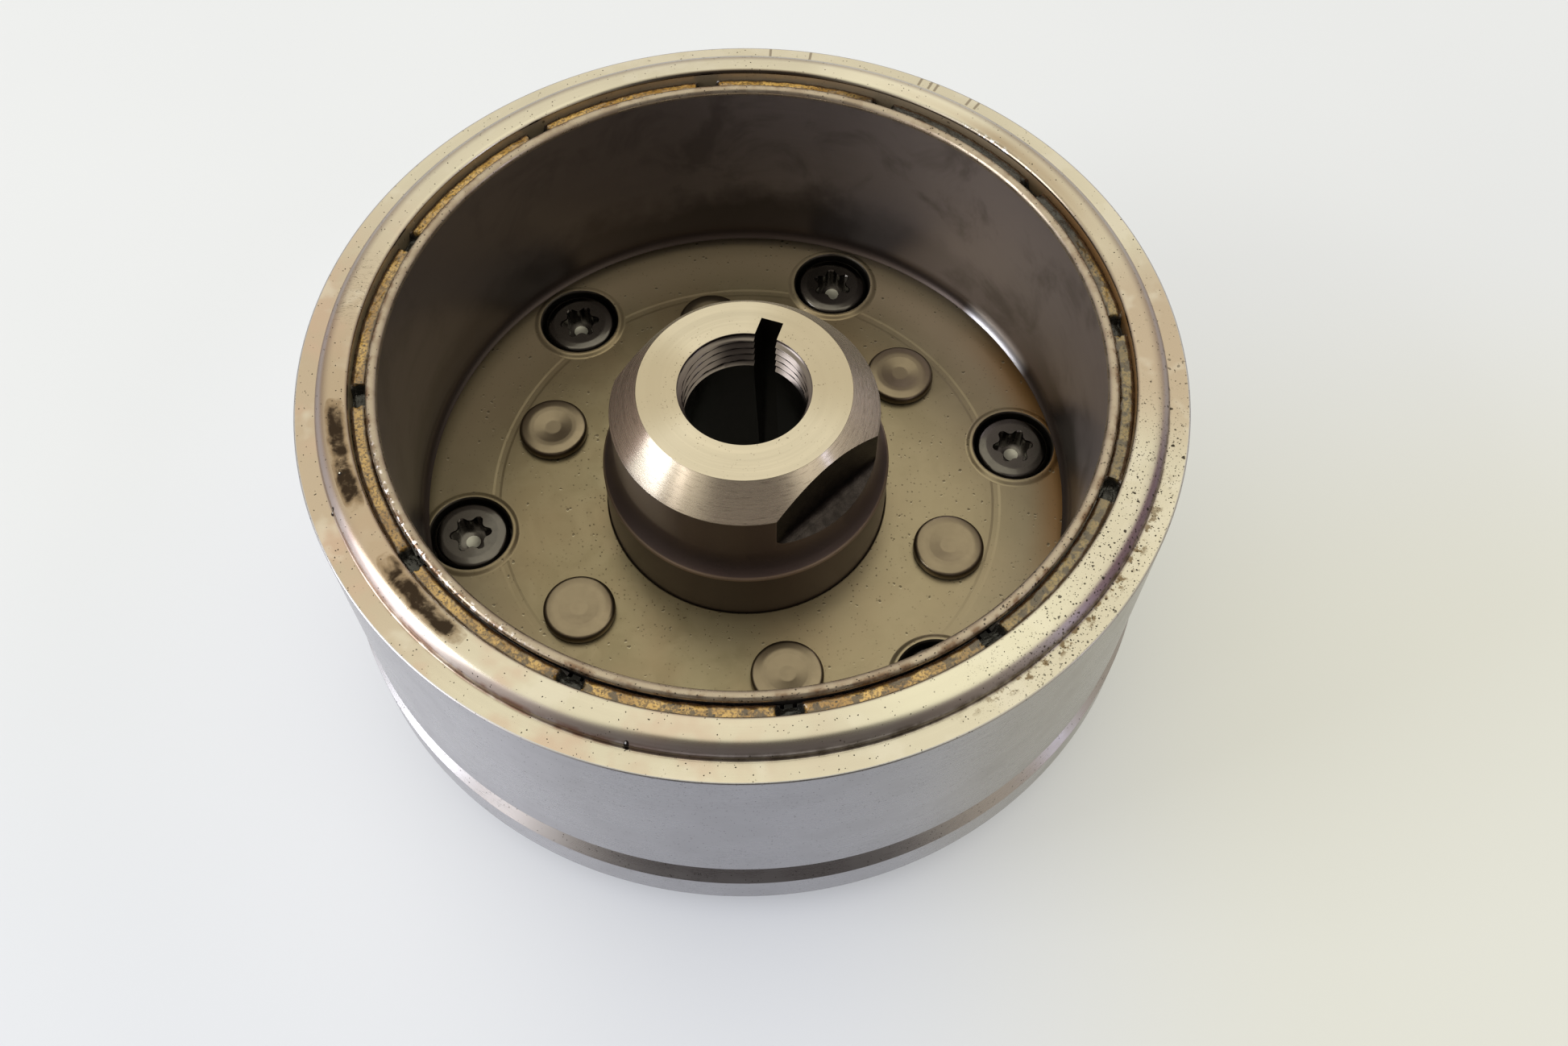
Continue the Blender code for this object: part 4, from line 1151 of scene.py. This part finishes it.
def camera():
    """Close view from the front, 54 degrees above the rim's middle."""
    distance, elevation = 217.7, 53.9
    target = Vector((4.8, -26.2, FLANGE_TOP))
    back, rise = polar(distance, elevation)
    place = Vector((0.0, -back, FLANGE_TOP + rise))
    lens = bpy.data.cameras.new("view")
    lens.sensor_width = 36.0
    lens.lens = 35.33
    lens.clip_start, lens.clip_end = 0.01, 20.0
    obj = bpy.data.objects.new("view", lens)
    look = (target - place).normalized()
    right = look.cross(Vector((0.0, 0.0, 1.0))).normalized()
    up = right.cross(look)
    roll = 0.01696
    turned_right = right * math.cos(roll) + up * math.sin(roll)
    turned_up = up * math.cos(roll) - right * math.sin(roll)
    axes = Matrix((turned_right, turned_up, -look)).transposed()
    obj.matrix_world = Matrix.Translation(mm(place)) @ axes.to_4x4()
    bpy.context.scene.collection.objects.link(obj)
    bpy.context.scene.camera = obj


def build():
    wall = steel("wall_ground", (0.370, 0.362, 0.385), 0.27, 0.2, (6.0, 1.0), 0.001, wall_paint, 0.04)
    rim = steel("rim_turned", (0.46, 0.425, 0.362), 0.24, 0.3, (4.0, 0.8), 0.001, rim_paint, 0.04)
    floor = steel(
        "floor_oily", (0.215, 0.18, 0.113), 0.34, 0.0, (1.2, 1.5), 0.001, floor_paint, 0.04, floor_metal
    )
    back = plain("back_dark", (0.10, 0.09, 0.08), 0.42)
    hub = steel("hub_brushed", (0.46, 0.412, 0.34), 0.30, 0.85, (5.0, 0.6), 0.0013, hub_paint, 0.09)
    forged = plain("forged_dark", (0.038, 0.032, 0.031), 0.42, 1.0, 5.0, 0.08, 0.35)
    bore = steel("bore_steel", (0.13, 0.112, 0.105), 0.25, 0.0, (5.0, 1.0), 0.001)
    cover = steel("cover_drawn", (0.235, 0.207, 0.22), 0.34, 0.2, (3.0, 1.0), 0.001, cover_paint, 0.04, 0.8)
    rivet = plain("rivet_steel_look", (0.20, 0.162, 0.115), 0.32, 1.0, 0.9, 0.002, 0.10)
    oxide = plain("black_oxide_look", (0.074, 0.066, 0.060), 0.25, 1.0, 1.2, 0.0015, 0.2, 0.6)
    # Painted highlight: the sockets' drill points get this lighter finish, standing in for the bright spot
    # they reflect.
    worn = plain("socket_point_highlight_look", (0.42, 0.41, 0.37), 0.42, 0.6, 1.2, 0.002, 0.2)
    race = steel("race_ground", (0.42, 0.40, 0.37), 0.22, 0.3, (5.0, 3.0), 0.001)
    sprag = plain("sprag_polished", (0.52, 0.51, 0.49), 0.18, 1.0, 0.8, 0.002, 0.1)
    spring = plain("spring_wire", (0.46, 0.44, 0.40), 0.28, 1.0, 1.5, 0.002, 0.15)
    magnet = plain("magnet_plating", (0.34, 0.33, 0.32), 0.36, 1.0, 1.0, 0.004, 0.15)
    holder = plain("holder_plastic_look", (0.03, 0.03, 0.03), 0.55, 0.0, 1.5, 0.01, 0.2)
    rotor_cup([wall, rim, floor, back])
    hub_boss([hub, forged, bore])
    magnet_cover(cover)
    magnet_resin(resin_material())
    rivets(rivet)
    clutch_screws([oxide, worn])
    clutch_outer_race(race)
    sprags(sprag)
    garter_spring(spring)
    carried = {f"magnet_{k + 1:02d}": magnet for k in range(MAGNETS)}
    carried.update({"magnet_holder": holder, "clutch_retaining_ring": spring, "sprag_cage": race})
    carry_over(carried)
    floor_plane()
    sky()
    window("window_left", 191.0, 24.0, 1.3, (0.55, 0.80), 10.0, (0.94, 0.97, 1.0))
    window("window_front", 217.0, 20.0, 1.3, (0.16, 0.70), 0.65, (1.0, 0.95, 0.90))
    window("lamp_right", -21.0, 14.0, 1.3, (0.10, 0.45), 0.6, (0.62, 0.66, 1.0))
    camera()
    bpy.context.scene.view_settings.view_transform = "Standard"


build()
